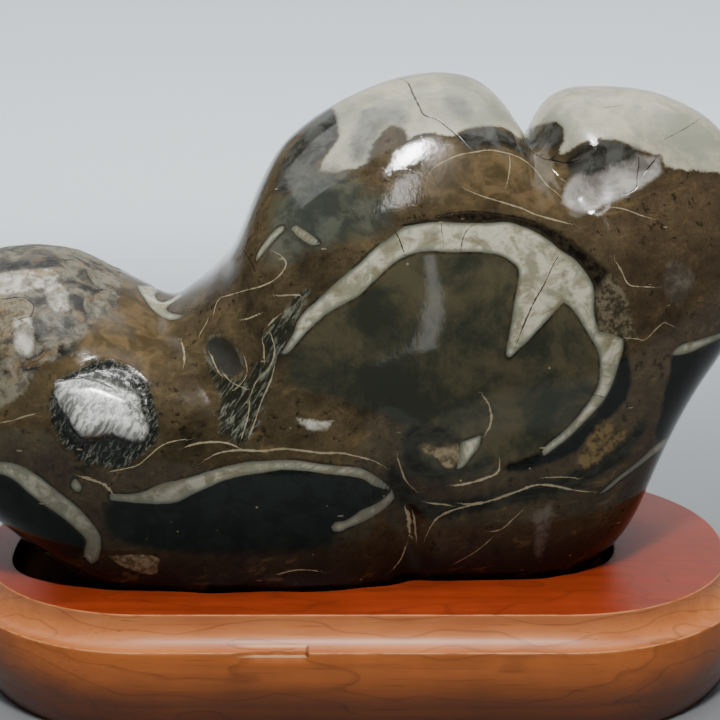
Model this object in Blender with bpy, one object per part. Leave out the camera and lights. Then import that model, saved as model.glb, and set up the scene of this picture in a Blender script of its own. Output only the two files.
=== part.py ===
"""Polished fossil nautilus, standing in the pocket carved for it in a hardwood stand.

The stone is one freely shaped solid: a low lobe on the left, a saddle, and a tall hump on the
right that a notch parts in two. The stand is one board with round ends, a cove along its top
edge and a side that tucks in towards the table.

Lengths below are millimetres. X runs along the stand, Y points away from the viewer, and a
height is counted from the stand's flat top. The origin is the middle of the stand's underside.
"""

import math

import bmesh
import bpy
import numpy as np

MM = 0.001

# The stand
TOP_LENGTH = 280.0
TOP_DEPTH = 142.0
END_RADIUS = 67.5
STAND_HEIGHT = 45.0
COVE_OUT = 7.4
COVE_DROP = 10.5
LIP = 1.2
SIDE_BULGE = 1.4
SIDE_TUCK = 7.0
CORNER_STEPS = 13
COVE_STEPS = 5
SIDE_STEPS = 6

# The pocket in the stand, and how the stone sits in it
POCKET_DEPTH = 8.0
POCKET_CLEARANCE = 2.0
POCKET_LEFT_ROOM = 17.0
POCKET_LEFT_BLEND = 34.0
POCKET_RIGHT_ROOM = 2.5
POCKET_RIGHT_BLEND = 25.0
POCKET_STATIONS = 40
POCKET_SEARCH = 600
REST_GAP = 0.3
UNDERSIDE_TUCK = 0.3

# The stone: its ends, and how finely its rings are spaced
LEFT_END = -165.0
RIGHT_END = 150.0
LEFT_NOSE = 34.0
RIGHT_NOSE = 24.0
RINGS = 76
POINTS_AROUND = 54
UPPER_POWER = 2.3
LOWER_POWER = 2.5

# Lines that shape the stone, each as (x, value) where the line bends
TOP_LINE = (
    (-165, 96), (-150, 106), (-132, 113), (-116, 115), (-104, 113), (-90, 106), (-77, 99),
    (-68, 95), (-60, 99), (-51, 106), (-45, 113), (-41, 121), (-37, 131), (-29, 147),
    (-20, 157), (-10, 164), (0, 169), (12, 173), (27, 175), (42, 174), (54, 171), (66, 170),
    (78, 171), (90, 171), (104, 169), (117, 164), (127, 158), (134, 152), (142, 145), (150, 139),
)
BOTTOM_LINE = (
    (-165, 44), (-155, 34), (-145, 26), (-135, 19), (-127, 13), (-119, 6), (-110, -1),
    (-92, -13), (-70, -20), (-44, -28), (-20, -36), (2, -32), (18, -21), (33, -18),
    (49, -19), (62, -20), (73, -16), (80, -11), (88, -5), (93, 0), (97, 4.5), (100.5, 10),
    (104, 17), (108, 28), (113.5, 42), (121, 58), (130, 72), (140, 81), (150, 87),
)
WAIST_LINE = (
    (-165, 65), (-140, 55), (-110, 46), (-80, 45), (-40, 49), (0, 48), (30, 46), (62, 50),
    (85, 60), (105, 78), (125, 98), (150, 109),
)
FRONT_LINE = (
    (-165, 34), (-150, 42), (-130, 48), (-109, 53), (-92, 57), (-70, 60), (-44, 62),
    (-20, 61), (0, 59), (16, 57), (33, 55.5), (50, 54), (65, 52), (80, 49), (95, 45),
    (110, 40), (125, 34), (140, 26), (150, 19),
)
BACK_LINE = (
    (-165, 30), (-130, 42), (-100, 50), (-60, 54), (-20, 57), (20, 55), (60, 54), (90, 48),
    (110, 41), (125, 34), (140, 25), (150, 18),
)
SPINE_LINE = ((-165, -4), (-110, -4), (-60, 0), (0, 4), (60, 3), (100, 0), (150, 2))

# The notch that parts the tall hump's two lobes
NOTCH_AT = 61.5
NOTCH_DEPTH = 16.5
NOTCH_LEFT = 9.0
NOTCH_RIGHT = 5.5
NOTCH_FADE = 7.0

FRONT, BACK = -1, 1

# Swellings and hollows on the two faces:
# face, x, height, reach along, reach across, rise, turn of the long way in degrees
RELIEF = (
    (FRONT, 15, 26, 26, 8, -6.0, -80),  # crease between the two lower lobes
    (FRONT, -20, 40, 34, 16, 1.5, 4),  # swell of the lower left lobe
    (FRONT, 56, 34, 28, 16, 1.5, 0),  # swell of the lower right lobe
    (FRONT, 70, 148, 18, 7, -5.0, -58),  # notch between the two upper lobes
    (FRONT, 96, 139, 20, 10, -3.0, 22),  # dished facet under the right lobe
    (FRONT, -88, 66, 20, 14, 2.5, -12),  # nodule that stands proud on the left lobe
    (FRONT, -47, 78, 14, 9, -2.2, -70),  # oval pit in the saddle
    (FRONT, -62, 88, 26, 10, -3.0, -35),  # valley that runs down from the saddle
    (FRONT, 40, 88, 52, 40, 2.0, 15),  # gentle swell of the great chamber
    (BACK, 72, 138, 34, 8, -6.0, -66),  # the notch, seen from behind
    (BACK, -58, 84, 34, 12, -5.0, -50),  # the saddle's valley, seen from behind
    (BACK, 20, 96, 48, 36, 3.0, -20),  # swell of the whorl behind
    (BACK, -100, 62, 30, 24, 2.5, 10),  # swell of the left lobe behind
    (BACK, 8, 24, 30, 8, -4.0, -70),  # crease between the lower lobes behind
)


def line(points):
    """A smooth curve through the points of a line, as a function that takes an array of x."""
    xs, ys = np.array(points, float).T
    step = np.diff(xs)
    slope = np.diff(ys) / step
    inner = (slope[:-1] * step[1:] + slope[1:] * step[:-1]) / (step[:-1] + step[1:])
    tangent = np.r_[slope[0], inner, slope[-1]]

    def at(x):
        i = np.clip(np.searchsorted(xs, x) - 1, 0, len(step) - 1)
        t = (x - xs[i]) / step[i]
        start = ys[i] * (1 + 2 * t) * (1 - t) ** 2 + step[i] * tangent[i] * t * (1 - t) ** 2
        return start + ys[i + 1] * t * t * (3 - 2 * t) - step[i] * tangent[i + 1] * t * t * (1 - t)

    return at


def smooth_step(start, end, x):
    """0 before start and 1 after end, easing in between."""
    t = np.clip((x - start) / (end - start), 0, 1)
    return t * t * (3 - 2 * t)


def ring_places():
    """Where the stone's rings stand: closer together at its noses, its notch and its steep flank."""
    x = np.linspace(LEFT_END, RIGHT_END, 2000)
    density = (
        1
        + 2.2 * np.exp(-(((x - 62) / 8) ** 2))
        + 0.8 * np.exp(-(((x + 42) / 12) ** 2))
        + 4 * np.exp(-(((x - LEFT_END) / 7) ** 2))
        + 4 * np.exp(-(((x - RIGHT_END) / 6) ** 2))
    )
    share = np.cumsum(density)
    share = (share - share[0]) / (share[-1] - share[0])
    return np.interp(np.arange(1, RINGS + 1) / (RINGS + 1), share, x)


def relief(x, z, side):
    """How far the surface stands out at a place on a face; side is -1 in front and 1 behind."""
    out = 1.2 * np.sin(x / 23 + z / 31) * np.cos(z / 27 - x / 41 + side)
    for face, at_x, at_z, along, across, rise, turn in RELIEF:
        c, s = math.cos(math.radians(turn)), math.sin(math.radians(turn))
        u = ((x - at_x) * c + (z - at_z) * s) / along
        v = ((z - at_z) * c - (x - at_x) * s) / across
        facing = smooth_step(0.0, 0.5, side * face)
        out = out + rise * facing * np.exp(-u * u - v * v)
    return out


def notch(x):
    """How deep the notch in the top line is at x."""
    width = NOTCH_LEFT if x < NOTCH_AT else NOTCH_RIGHT
    return NOTCH_DEPTH * math.exp(-((abs(x - NOTCH_AT) / width) ** 1.25))


def ring(x):
    """One cross-section of the stone: its points as (y, height), from the keel up the front."""
    top, bottom, waist = line(TOP_LINE)(x), line(BOTTOM_LINE)(x), line(WAIST_LINE)(x)
    front, back, spine = line(FRONT_LINE)(x), line(BACK_LINE)(x), line(SPINE_LINE)(x)
    turn = np.arange(POINTS_AROUND) / POINTS_AROUND * 2 * math.pi
    side, rise = -np.sin(turn), -np.cos(turn)
    power = np.where(rise > 0, UPPER_POWER, LOWER_POWER)
    reach = np.where(rise > 0, top - waist, waist - bottom)
    height = np.sign(rise) * np.abs(rise) ** (2 / power)
    z = waist + reach * height - notch(x) * np.maximum(height, 0) ** NOTCH_FADE
    y = spine + np.sign(side) * np.where(side < 0, front, back) * np.abs(side) ** (2 / power)

    middle = (top + bottom) / 2
    away = np.hypot(y - spine, z - middle)
    grow = 1 + relief(x, z, side) / np.maximum(away, 1)
    left = min(1, (x - LEFT_END) / LEFT_NOSE)
    right = min(1, (RIGHT_END - x) / RIGHT_NOSE)
    grow = grow * math.sqrt(1 - (1 - left) ** 2) * math.sqrt(1 - (1 - right) ** 2)
    y = spine + (y - spine) * grow
    z = middle + (z - middle) * grow

    z = np.maximum(z, REST_GAP - POCKET_DEPTH)
    below = np.clip(-z / POCKET_DEPTH, 0, 1)
    y = spine + (y - spine) * (1 - UNDERSIDE_TUCK * below**2)
    return y, z


def nose(x):
    """The point in which the stone's rings close at one of its ends."""
    middle = (line(TOP_LINE)(x) + line(BOTTOM_LINE)(x)) / 2
    return x, float(line(SPINE_LINE)(x)), float(middle)


def material(name, colour, roughness):
    """A plain finish for one sub-part."""
    made = bpy.data.materials.new(name)
    made.use_nodes = True
    shader = made.node_tree.nodes["Principled BSDF"]
    shader.inputs["Base Color"].default_value = (*colour, 1)
    shader.inputs["Roughness"].default_value = roughness
    shader.inputs["Metallic"].default_value = 0
    made.diffuse_color = (*colour, 1)
    return made


def new_object(name, points, faces, finish=None):
    """A named object from points in millimetres, lifted so that the stand's underside is at 0."""
    mesh = bpy.data.meshes.new(name)
    lifted = [(x * MM, y * MM, (z + STAND_HEIGHT) * MM) for x, y, z in points]
    mesh.from_pydata(lifted, [], faces)
    shape = bmesh.new()
    shape.from_mesh(mesh)
    bmesh.ops.recalc_face_normals(shape, faces=shape.faces)
    shape.to_mesh(mesh)
    shape.free()
    if finish:
        mesh.materials.append(finish)
    made = bpy.data.objects.new(name, mesh)
    bpy.context.scene.collection.objects.link(made)
    return made


def loft(rings):
    """Quads between closed rings that all have the same number of points, and nothing at the ends."""
    count = len(rings[0])
    points = [p for r in rings for p in r]
    faces = [
        (i * count + j, i * count + (j + 1) % count, (i + 1) * count + (j + 1) % count, (i + 1) * count + j)
        for i in range(len(rings) - 1)
        for j in range(count)
    ]
    return points, faces


def make_stone():
    """The polished fossil: rings lofted along X and closed in a point at each nose."""
    rings = [[(x, y, z) for y, z in zip(*ring(x))] for x in ring_places()]
    points, faces = loft(rings)
    first, last = len(points), len(points) + 1
    points += [nose(LEFT_END), nose(RIGHT_END)]
    final = (RINGS - 1) * POINTS_AROUND
    for j in range(POINTS_AROUND):
        k = (j + 1) % POINTS_AROUND
        faces += [(first, k, j), (last, final + j, final + k)]
    polish = material("polished fossil limestone", (0.075, 0.05, 0.032), 0.16)
    stone = new_object("fossil_nautilus", points, faces, polish)
    stone.data.shade_smooth()
    return stone


def stand_outline(grow):
    """The stand's plan as a closed run of (x, y), set out from its flat top's edge by grow."""
    half_length, half_depth = TOP_LENGTH / 2 + grow, TOP_DEPTH / 2 + grow
    radius = END_RADIUS + grow
    points = []
    for quarter, (along, across) in enumerate(((1, 1), (-1, 1), (-1, -1), (1, -1))):
        for step in range(CORNER_STEPS):
            angle = math.pi / 2 * (quarter + step / (CORNER_STEPS - 1))
            points.append((
                along * (half_length - radius) + radius * math.cos(angle),
                across * (half_depth - radius) + radius * math.sin(angle),
            ))
    return points


def stand_profile():
    """The stand's edge from its top down, as (distance out from the flat top's edge, height)."""
    cove = [
        (COVE_OUT * (1 - math.cos(a)), -LIP - (COVE_DROP - LIP) * math.sin(a))
        for a in (math.pi / 2 * i / COVE_STEPS for i in range(COVE_STEPS + 1))
    ]
    side_height = STAND_HEIGHT - COVE_DROP
    side = []
    for i in range(1, SIDE_STEPS + 1):
        down = i / SIDE_STEPS
        out = COVE_OUT + SIDE_BULGE * math.sin(math.pi * min(1, down * 1.6)) - SIDE_TUCK * down**3.2
        side.append((out, -COVE_DROP - side_height * down))
    return [(0, 0), *cove, *side]


def pocket_outline():
    """The pocket's plan: the stone's own section at the stand's top, set out by the clearance."""
    search = np.linspace(LEFT_END, RIGHT_END, POCKET_SEARCH)
    sunk = [x for x in search if ring(x)[1].min() < 0]
    turn = np.linspace(0, math.pi, POCKET_STATIONS)
    places = (sunk[0] + sunk[-1]) / 2 - (sunk[-1] - sunk[0]) / 2 * np.cos(turn)
    quarter = POINTS_AROUND // 4 + 1
    front, back = [], []
    for x in places:
        y, z = ring(x)
        rear = -np.arange(quarter)
        front.append((x, np.interp(0, z[:quarter], y[:quarter])))
        back.append((x, np.interp(0, z[rear], y[rear])))
    plan = np.array(front + back[-2:0:-1])
    along = np.roll(plan, -1, axis=0) - np.roll(plan, 1, axis=0)
    outward = np.stack([along[:, 1], -along[:, 0]], axis=1)
    outward /= np.linalg.norm(outward, axis=1)[:, None]
    plan = plan + outward * POCKET_CLEARANCE
    left, right = plan[:, 0].min(), plan[:, 0].max()
    plan[:, 0] -= POCKET_LEFT_ROOM * (1 - smooth_step(left, left + POCKET_LEFT_BLEND, plan[:, 0]))
    plan[:, 0] += POCKET_RIGHT_ROOM * smooth_step(right - POCKET_RIGHT_BLEND, right, plan[:, 0])
    return plan


def make_stand():
    """The board: its profile swept round its plan, and the pocket cut into its top."""
    rings = [[(x, y, z) for x, y in stand_outline(grow)] for grow, z in stand_profile()]
    points, faces = loft(rings)
    count = len(rings[0])
    faces += [tuple(range(count)), tuple(len(points) - count + i for i in range(count))]
    varnish = material("varnished hardwood", (0.42, 0.13, 0.045), 0.3)
    stand = new_object("wooden_stand", points, faces, varnish)

    plan = pocket_outline()
    walls, sides = loft([[(x, y, z) for x, y in plan] for z in (-POCKET_DEPTH, POCKET_DEPTH)])
    sides += [tuple(range(len(plan))), tuple(len(plan) + i for i in range(len(plan)))]
    cutter = new_object("pocket_cutter", walls, sides)
    cutter.hide_render = True
    cutter.display_type = "WIRE"
    pocket = stand.modifiers.new("pocket", "BOOLEAN")
    pocket.operation = "DIFFERENCE"
    pocket.object = cutter
    stand.data.shade_smooth()
    stand.data.set_sharp_from_angle(angle=math.radians(35))
    return stand


def main():
    for old in list(bpy.data.objects):
        bpy.data.objects.remove(old)
    make_stone()
    make_stand()


main()
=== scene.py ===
"""Looks of a polished fossil nautilus in the pocket of its hardwood stand, laid out as an add-on.

Names ending in _MM are millimetres. Names ending in _PX are pixels of the 720 x 720 photograph,
read off it and cast through the camera onto the stone. A place outside 0 to 720 is where the stone
goes on past the photograph's edge. On the side that the photograph doesn't show, places are given
as (x, height over the stand) in millimetres and cast from behind.
"""

import math

import bmesh
import bpy
import numpy as np
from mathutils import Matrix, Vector, noise
from mathutils.bvhtree import BVHTree


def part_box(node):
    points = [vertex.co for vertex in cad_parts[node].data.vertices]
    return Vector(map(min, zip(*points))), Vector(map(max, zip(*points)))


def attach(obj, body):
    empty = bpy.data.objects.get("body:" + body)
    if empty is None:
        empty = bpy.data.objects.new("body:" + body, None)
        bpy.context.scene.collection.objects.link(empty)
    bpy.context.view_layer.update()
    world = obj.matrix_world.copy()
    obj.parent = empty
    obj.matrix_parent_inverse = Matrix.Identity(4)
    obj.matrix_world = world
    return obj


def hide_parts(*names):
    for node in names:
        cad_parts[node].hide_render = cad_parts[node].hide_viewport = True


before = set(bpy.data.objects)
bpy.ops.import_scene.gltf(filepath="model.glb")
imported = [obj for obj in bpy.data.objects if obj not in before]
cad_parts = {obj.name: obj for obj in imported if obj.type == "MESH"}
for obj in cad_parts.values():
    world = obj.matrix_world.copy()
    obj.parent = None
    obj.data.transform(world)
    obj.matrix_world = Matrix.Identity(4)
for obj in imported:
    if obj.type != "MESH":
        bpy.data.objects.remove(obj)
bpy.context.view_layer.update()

bl_info = {
    "name": "Fossil Nautilus",
    "version": (1, 0, 0),
    "blender": (4, 5, 0),
    "location": "View3D > Sidebar > Nautilus",
    "description": "Makes a polished fossil nautilus, its hardwood stand and a plain studio",
    "category": "Object",
}

MM = 0.001
STAND_LOW, STAND_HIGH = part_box("wooden_stand")
STAND_TOP_MM = STAND_HIGH.z / MM

# The camera, fitted to the two moulded outlines of the stand
IMAGE_PX = 720
FOCAL_PX = 1500
SENSOR_MM = 36
CAMERA_MM = (1.6, -539.5, 216.2 + STAND_TOP_MM)
CAMERA_DOWN = math.radians(15.12)

# The boss in the eye: its middle, the way it faces, and how little it is arched
BOSS_MIDDLE_PX = (98, 408)
BOSS_FACES = np.array((0.126, -0.826, 0.550))
BOSS_ARCH_MM = 200

# How finely the stone is made, and how far a marking is felt from its edge
ROWS = 300
COLUMNS = 330
REACH_MM = 12.0
OUTLINE_STEP_PX = 2.5
OUTLINE_STEP_MM = 1.0
SHARP_TURN = math.radians(55)
LINE_CLEARANCE_MM = 5.0
# How far out the side distance of a thin line is kept, in half widths of it
FAR_SIDE = 20.0
# How many points are measured against an outline at a time
BATCH = 4096
# How densely points lie round a ring: behind, how much more in front, and how much less underneath
DENSITY = (0.45, 0.75, 0.15)

# What is cut into the stone: how deep in millimetres, and between which depths inside its outline
SUNKEN = (
    ("ring", -1.3, -1.5, 3), ("pit", -1.5, -1, 4.5), ("hollow", -0.7, -2, 4), ("facet", -2.2, -3, 9),
)
# Lumps of its surface: how high and how large they are in millimetres, and their noise's seed
POLISHING_LUMPS = ((0.05, 16, 1), (0.012, 7, 2))
WEATHERED_LUMPS = (0.45, 4.5, 3)
WEATHERED_DEEP_MM = 0.25
COARSE_LUMPS = (0.5, 1.9, 4)
# What lies this close to the resting spot stays flat
RESTING_MM = 0.4

# Cracks on the side that the photograph doesn't show: the draws' seed, how many, and their step
REAR_CRACK_SEED = 11
REAR_CRACKS = 16
CRACK_STEP_MM = 6


def crescent(middle, radii, start, end, width, power=0.8, steps=26):
    """A closed crescent round an ellipse, from one angle to the other in degrees, widest half way."""
    outer, inner = [], []
    for i in range(steps + 1):
        share = i / steps
        angle = math.radians(start + (end - start) * share)
        across = width * math.sin(math.pi * share) ** power / 2
        for run, grow in ((outer, across), (inner, -across)):
            x = middle[0] + (radii[0] + grow) * math.cos(angle)
            run.append((x, middle[1] + (radii[1] + grow) * math.sin(angle)))
    return tuple(outer + inner[-2:0:-1])


def oval(middle, radii, turn=0.0, wobble=0.08, steps=28):
    """A closed, slightly lumpy oval; turn is in degrees."""
    c, s = math.cos(math.radians(turn)), math.sin(math.radians(turn))
    run = []
    for i in range(steps):
        angle = 2 * math.pi * i / steps
        lump = 1 + wobble * math.sin(3 * angle + middle[0]) + wobble / 2 * math.cos(5 * angle)
        along, across = radii[0] * lump * math.cos(angle), radii[1] * lump * math.sin(angle)
        run.append((middle[0] + along * c - across * s, middle[1] + along * s + across * c))
    return tuple(run)


# The markings. Each is a closed outline made of parts: the view it is cast from, and its places.
GREAT_ARC_PX = (
    (281, 354), (294, 332), (297, 322), (305, 311), (321, 297), (340, 279), (360, 263),
    (374, 249), (390, 238), (402, 228), (413, 225), (436, 222), (461, 223), (489, 223),
    (507, 222), (521, 226), (534, 231), (548, 240), (562, 251), (574, 259), (584, 270),
    (591, 281), (594, 292), (594, 309), (596, 322), (599, 332), (609, 333), (623, 339),
    (623, 350), (618, 366), (613, 382), (606, 397), (594, 412), (580, 426), (568, 438),
    (555, 448), (544, 456), (541, 451), (548, 444), (562, 433), (574, 421), (585, 407),
    (594, 394), (599, 382), (600, 368), (599, 354), (594, 343), (587, 332), (580, 320),
    (572, 309), (564, 302), (557, 309), (551, 316), (539, 329), (528, 341), (518, 350),
    (509, 359), (506, 354), (509, 336), (512, 318), (514, 304), (517, 290), (519, 276),
    (518, 268), (512, 262), (502, 256), (489, 253), (468, 252), (447, 252), (429, 251),
    (415, 253), (404, 257), (394, 263), (385, 271), (372, 283), (360, 295), (344, 304),
    (328, 313), (314, 325), (303, 336), (289, 352),
)
LEFT_CAP_PX = (
    (333, 108), (336, 119), (338, 131), (338, 140), (331, 149), (323, 161), (320, 170),
    (331, 172), (344, 170), (360, 167), (366, 161), (370, 149), (376, 139), (385, 129),
    (394, 125), (406, 130), (408, 140), (420, 133), (436, 133), (452, 136), (459, 132),
    (466, 129), (479, 127), (491, 126), (507, 129), (516, 136), (522, 139), (530, 134),
    (526, 122),
)
LEFT_CAP_BEHIND_MM = (
    (58, 150), (48, 146), (36, 151), (24, 143), (12, 147), (2, 139), (-8, 142), (-14, 150),
)
RIGHT_CAP_PX = (
    (528, 120), (531, 126), (544, 124), (555, 122), (563, 129), (563, 142), (559, 149),
    (562, 154), (571, 149), (580, 144), (592, 139), (608, 139), (624, 142), (636, 149),
    (649, 152), (661, 154), (665, 166), (677, 169), (693, 170), (720, 173), (742, 182),
)
RIGHT_CAP_BEHIND_MM = (
    (138, 128), (126, 138), (114, 136), (104, 143), (92, 139), (80, 146), (70, 147), (64, 150),
)
BAND_A_PX = (
    (-62, 478), (-40, 466), (-20, 461), (0, 462), (12, 463), (25, 468), (41, 478), (57, 491),
    (74, 504), (87, 517), (99, 533), (101, 545), (98, 559), (92, 564), (86, 559), (84, 552),
    (86, 540), (76, 529), (62, 517), (46, 506), (30, 494), (14, 480), (0, 474), (-20, 472),
    (-40, 477),
)
BAND_B_PX = (
    (110, 494), (129, 494), (142, 492), (161, 484), (179, 480), (197, 475), (216, 469),
    (232, 465), (248, 462), (266, 461), (285, 460), (303, 461), (321, 464), (340, 466),
    (360, 468), (374, 475), (385, 483), (392, 489), (388, 490), (381, 488), (372, 485),
    (360, 478), (328, 474), (305, 471), (282, 470), (262, 473), (241, 476), (223, 481),
    (207, 488), (193, 494), (177, 502), (161, 504), (138, 503), (110, 500),
)
BAND_B_HOOK_PX = (
    (392, 490), (395, 498), (385, 508), (374, 516), (360, 523), (347, 528), (341, 532),
    (333, 531), (331, 527), (336, 522), (347, 520), (360, 511), (369, 507), (381, 501),
    (388, 494),
)
RIGHT_EDGE_SHELL_PX = (
    (670, 355), (681, 345), (698, 340), (720, 333), (740, 326), (740, 331), (720, 339),
    (704, 346), (691, 352), (678, 355),
)
SLOPE_STREAK_PX = (
    (668, 437), (669, 440), (661, 450), (652, 456), (642, 464), (631, 472), (619, 481),
    (608, 490), (597, 496), (608, 486), (618, 477), (630, 468), (641, 459), (650, 450),
    (658, 443),
)
V_MARK_PX = (
    (137, 285), (152, 286), (161, 288), (158, 292), (155, 295), (157, 299), (162, 302),
    (171, 299), (179, 293), (184, 295), (177, 300), (169, 305), (166, 309), (171, 313),
    (184, 315), (181, 318), (171, 320), (161, 316), (152, 309), (144, 298), (139, 290),
)
HOOK_PX = (
    (482, 434), (481, 437), (479, 446), (472, 456), (463, 467), (456, 470), (459, 456),
    (461, 442), (475, 437),
)
BLOB_PX = ((74, 477), (79, 482), (82, 487), (79, 493), (74, 490), (71, 485))
ICICLE_PX = (
    (529, 516), (536, 512), (544, 507), (551, 503), (552, 510), (549, 529), (544, 545),
    (539, 561), (536, 549), (536, 529),
)
LEFT_BAR_PX = (
    (279, 227), (284, 226), (285, 230), (278, 236), (269, 246), (261, 256), (256, 262), (257, 254),
    (264, 243), (272, 233),
)
RIGHT_BAR_PX = ((290, 228), (296, 225), (307, 232), (318, 240), (320, 244), (312, 245), (301, 239))
WEATHERED_PX = (
    (122, 279), (116, 304), (99, 318), (92, 327), (80, 338), (74, 350), (60, 359), (44, 364),
    (34, 373), (28, 387), (14, 400), (0, 407), (-20, 408), (-40, 402), (-60, 398), (-74, 388),
)
WEATHERED_BEHIND_MM = (
    (-158, 62), (-148, 58), (-138, 66), (-128, 72), (-118, 70), (-108, 80), (-100, 90),
    (-92, 98),
)
GREAT_CHAMBER_PX = (
    (303, 338), (314, 327), (328, 316), (344, 306), (360, 298), (372, 285), (385, 272),
    (394, 264), (404, 258), (415, 254), (447, 253), (489, 254), (502, 257), (512, 263),
    (518, 270), (518, 278), (517, 290), (513, 304), (511, 318), (508, 336), (506, 354),
    (509, 360), (519, 351), (529, 342), (540, 330), (552, 317), (559, 310), (565, 303),
    (572, 310), (580, 321), (587, 332), (593, 344), (598, 355), (599, 369), (598, 382),
    (593, 393), (584, 407), (572, 421), (561, 432), (547, 444), (539, 452), (521, 459),
    (498, 466), (479, 476), (452, 478), (436, 478), (413, 476), (404, 465), (400, 451),
    (404, 428), (388, 416), (360, 408), (344, 400), (321, 394), (298, 387), (285, 373),
    (292, 354),
)
LOWER_CHAMBER_PX = (
    (112, 498), (138, 498), (161, 499), (177, 497), (193, 490), (207, 483), (223, 476),
    (241, 471), (262, 468), (282, 465), (305, 466), (328, 469), (360, 473), (372, 480),
    (385, 487), (388, 494), (378, 504), (364, 513), (350, 523), (338, 534), (326, 548),
    (276, 556), (207, 556), (149, 549), (113, 536), (104, 514),
)
LEFT_CHAMBER_PX = (
    (-66, 482), (-40, 478), (-20, 474), (0, 475), (14, 481), (30, 495), (46, 507), (62, 518),
    (76, 530), (85, 541), (83, 552), (76, 559), (57, 556), (28, 542), (0, 520), (-30, 505),
    (-56, 492),
)
LOWER_SEAM_PX = (
    (386, 468), (394, 464), (401, 478), (412, 490), (432, 499), (470, 498), (520, 486), (560, 477),
    (600, 456), (634, 428), (648, 414), (640, 440), (612, 470), (572, 491), (522, 503), (470, 513),
    (432, 519), (410, 512), (394, 494),
)
SLOPE_DARK_PX = (
    (670, 357), (691, 352), (707, 346), (720, 339), (736, 333), (722, 356), (697, 396),
    (679, 420), (668, 436), (658, 442), (656, 433), (661, 410), (666, 387), (670, 371),
)
RIM_RIGHT_PX = (
    (623, 339), (628, 354), (631, 375), (629, 391), (622, 405), (608, 419), (590, 438),
    (576, 451), (557, 461), (537, 467), (521, 472), (502, 470), (507, 464), (521, 460),
    (539, 453), (544, 456), (555, 449), (568, 439), (581, 427), (595, 413), (606, 398),
    (614, 382), (618, 366), (624, 350),
)
RIM_TOP_PX = (
    (402, 226), (418, 220), (434, 217), (461, 212), (479, 212), (498, 214), (521, 218),
    (544, 224), (562, 234), (580, 247), (596, 260), (610, 271), (603, 281), (595, 292),
    (591, 281), (584, 269), (574, 259), (562, 250), (548, 239), (534, 230), (521, 226),
    (507, 221), (489, 222), (461, 222), (436, 220), (413, 225),
)
HOLLOW_PX = (
    (522, 140), (531, 129), (544, 124), (555, 122), (562, 129), (562, 140), (555, 147),
    (544, 148), (530, 147),
)
UNDER_CAP_PX = (
    (459, 133), (466, 130), (479, 128), (491, 127), (507, 130), (516, 137), (525, 149),
    (534, 158), (521, 154), (507, 147), (489, 147), (470, 149), (461, 142),
)
FACET_DARK_PX = (
    (564, 161), (580, 147), (594, 140), (608, 140), (624, 143), (642, 150), (633, 158),
    (608, 168), (590, 174), (571, 176),
)
FACET_PX = (
    (562, 203), (582, 211), (610, 203), (635, 191), (662, 173), (660, 155), (648, 157),
    (638, 153), (622, 150), (606, 151), (592, 159), (578, 170), (567, 184),
)
HUMP_GREY_PX = (
    (334, 110), (323, 117), (308, 130), (293, 145), (283, 163), (276, 181), (274, 193),
    (287, 193), (298, 182), (310, 168), (321, 159), (332, 145), (338, 136), (337, 119),
)
CAP_SMUDGE_PX = (
    (352, 140), (356, 122), (364, 110), (381, 108), (399, 107), (407, 110), (408, 122),
    (402, 126), (390, 125), (381, 131), (373, 142), (366, 161), (358, 165), (350, 158),
)
CAP_BLOTCH_PX = ((444, 100), (457, 97), (466, 102), (471, 112), (465, 120), (452, 112))
GREEN_STREAKS_PX = (
    (273, 197), (287, 195), (301, 184), (312, 170), (321, 174), (331, 184), (333, 207),
    (360, 230), (360, 241), (321, 239), (296, 223), (282, 226), (269, 225), (268, 211),
)
HOOK_BLOCK_PX = (
    (420, 444), (429, 444), (438, 448), (458, 444), (459, 456), (455, 467), (445, 467),
    (434, 456), (424, 453),
)
HOOK_DARK_PX = (
    (406, 426), (429, 423), (456, 433), (461, 441), (438, 446), (429, 444), (420, 444),
    (423, 456), (436, 469), (456, 471), (479, 462), (489, 465), (452, 478), (420, 476),
    (406, 467), (401, 451),
)
TEXTURED_PX = (
    (592, 260), (603, 268), (615, 279), (624, 290), (629, 309), (633, 327), (637, 338),
    (624, 338), (610, 333), (599, 330), (597, 309), (596, 288), (594, 272),
)
EYE_RING_PX = (
    (76, 371), (92, 362), (110, 360), (129, 366), (142, 377), (152, 391), (156, 410),
    (158, 428), (156, 442), (142, 456), (124, 467), (106, 468), (87, 463), (69, 451),
    (57, 437), (51, 419), (49, 400), (53, 387), (62, 377),
)
EYE_BULGE_PX = (
    (57, 384), (76, 379), (96, 379), (119, 388), (136, 396), (139, 410), (145, 426),
    (143, 439), (129, 438), (110, 432), (92, 435), (80, 433), (69, 415), (58, 398),
)
OVAL_PIT_PX = (
    (214, 336), (225, 337), (234, 345), (241, 359), (243, 372), (234, 377), (223, 375),
    (211, 364), (205, 352), (206, 341),
)
FIBRES_PX = (
    (206, 352), (213, 366), (224, 377), (240, 379), (250, 372), (266, 361), (276, 364),
    (272, 380), (266, 400), (259, 421), (248, 442), (236, 442), (220, 430), (217, 412),
    (224, 398), (212, 380),
)
SHEAR_ZONE_PX = (
    (262, 368), (266, 352), (264, 338), (272, 322), (284, 312), (300, 292), (312, 290),
    (300, 312), (292, 334), (282, 352), (274, 366),
)
DARK_STREAK_PX = (
    (-40, 268), (-18, 262), (0, 258), (14, 259), (30, 254), (44, 248), (57, 253), (62, 259),
    (46, 266), (23, 269), (0, 271), (-20, 276), (-38, 280),
)
PALE_PATCH_1_PX = ((46, 288), (57, 281), (67, 290), (69, 309), (57, 311), (48, 302))
PALE_PATCH_2_PX = ((14, 318), (30, 316), (34, 336), (28, 357), (18, 354), (14, 341))
PALE_SHEET_PX = (
    (-40, 284), (0, 272), (23, 270), (46, 268), (58, 274), (52, 283), (30, 290), (0, 294),
    (-36, 300),
)
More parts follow.
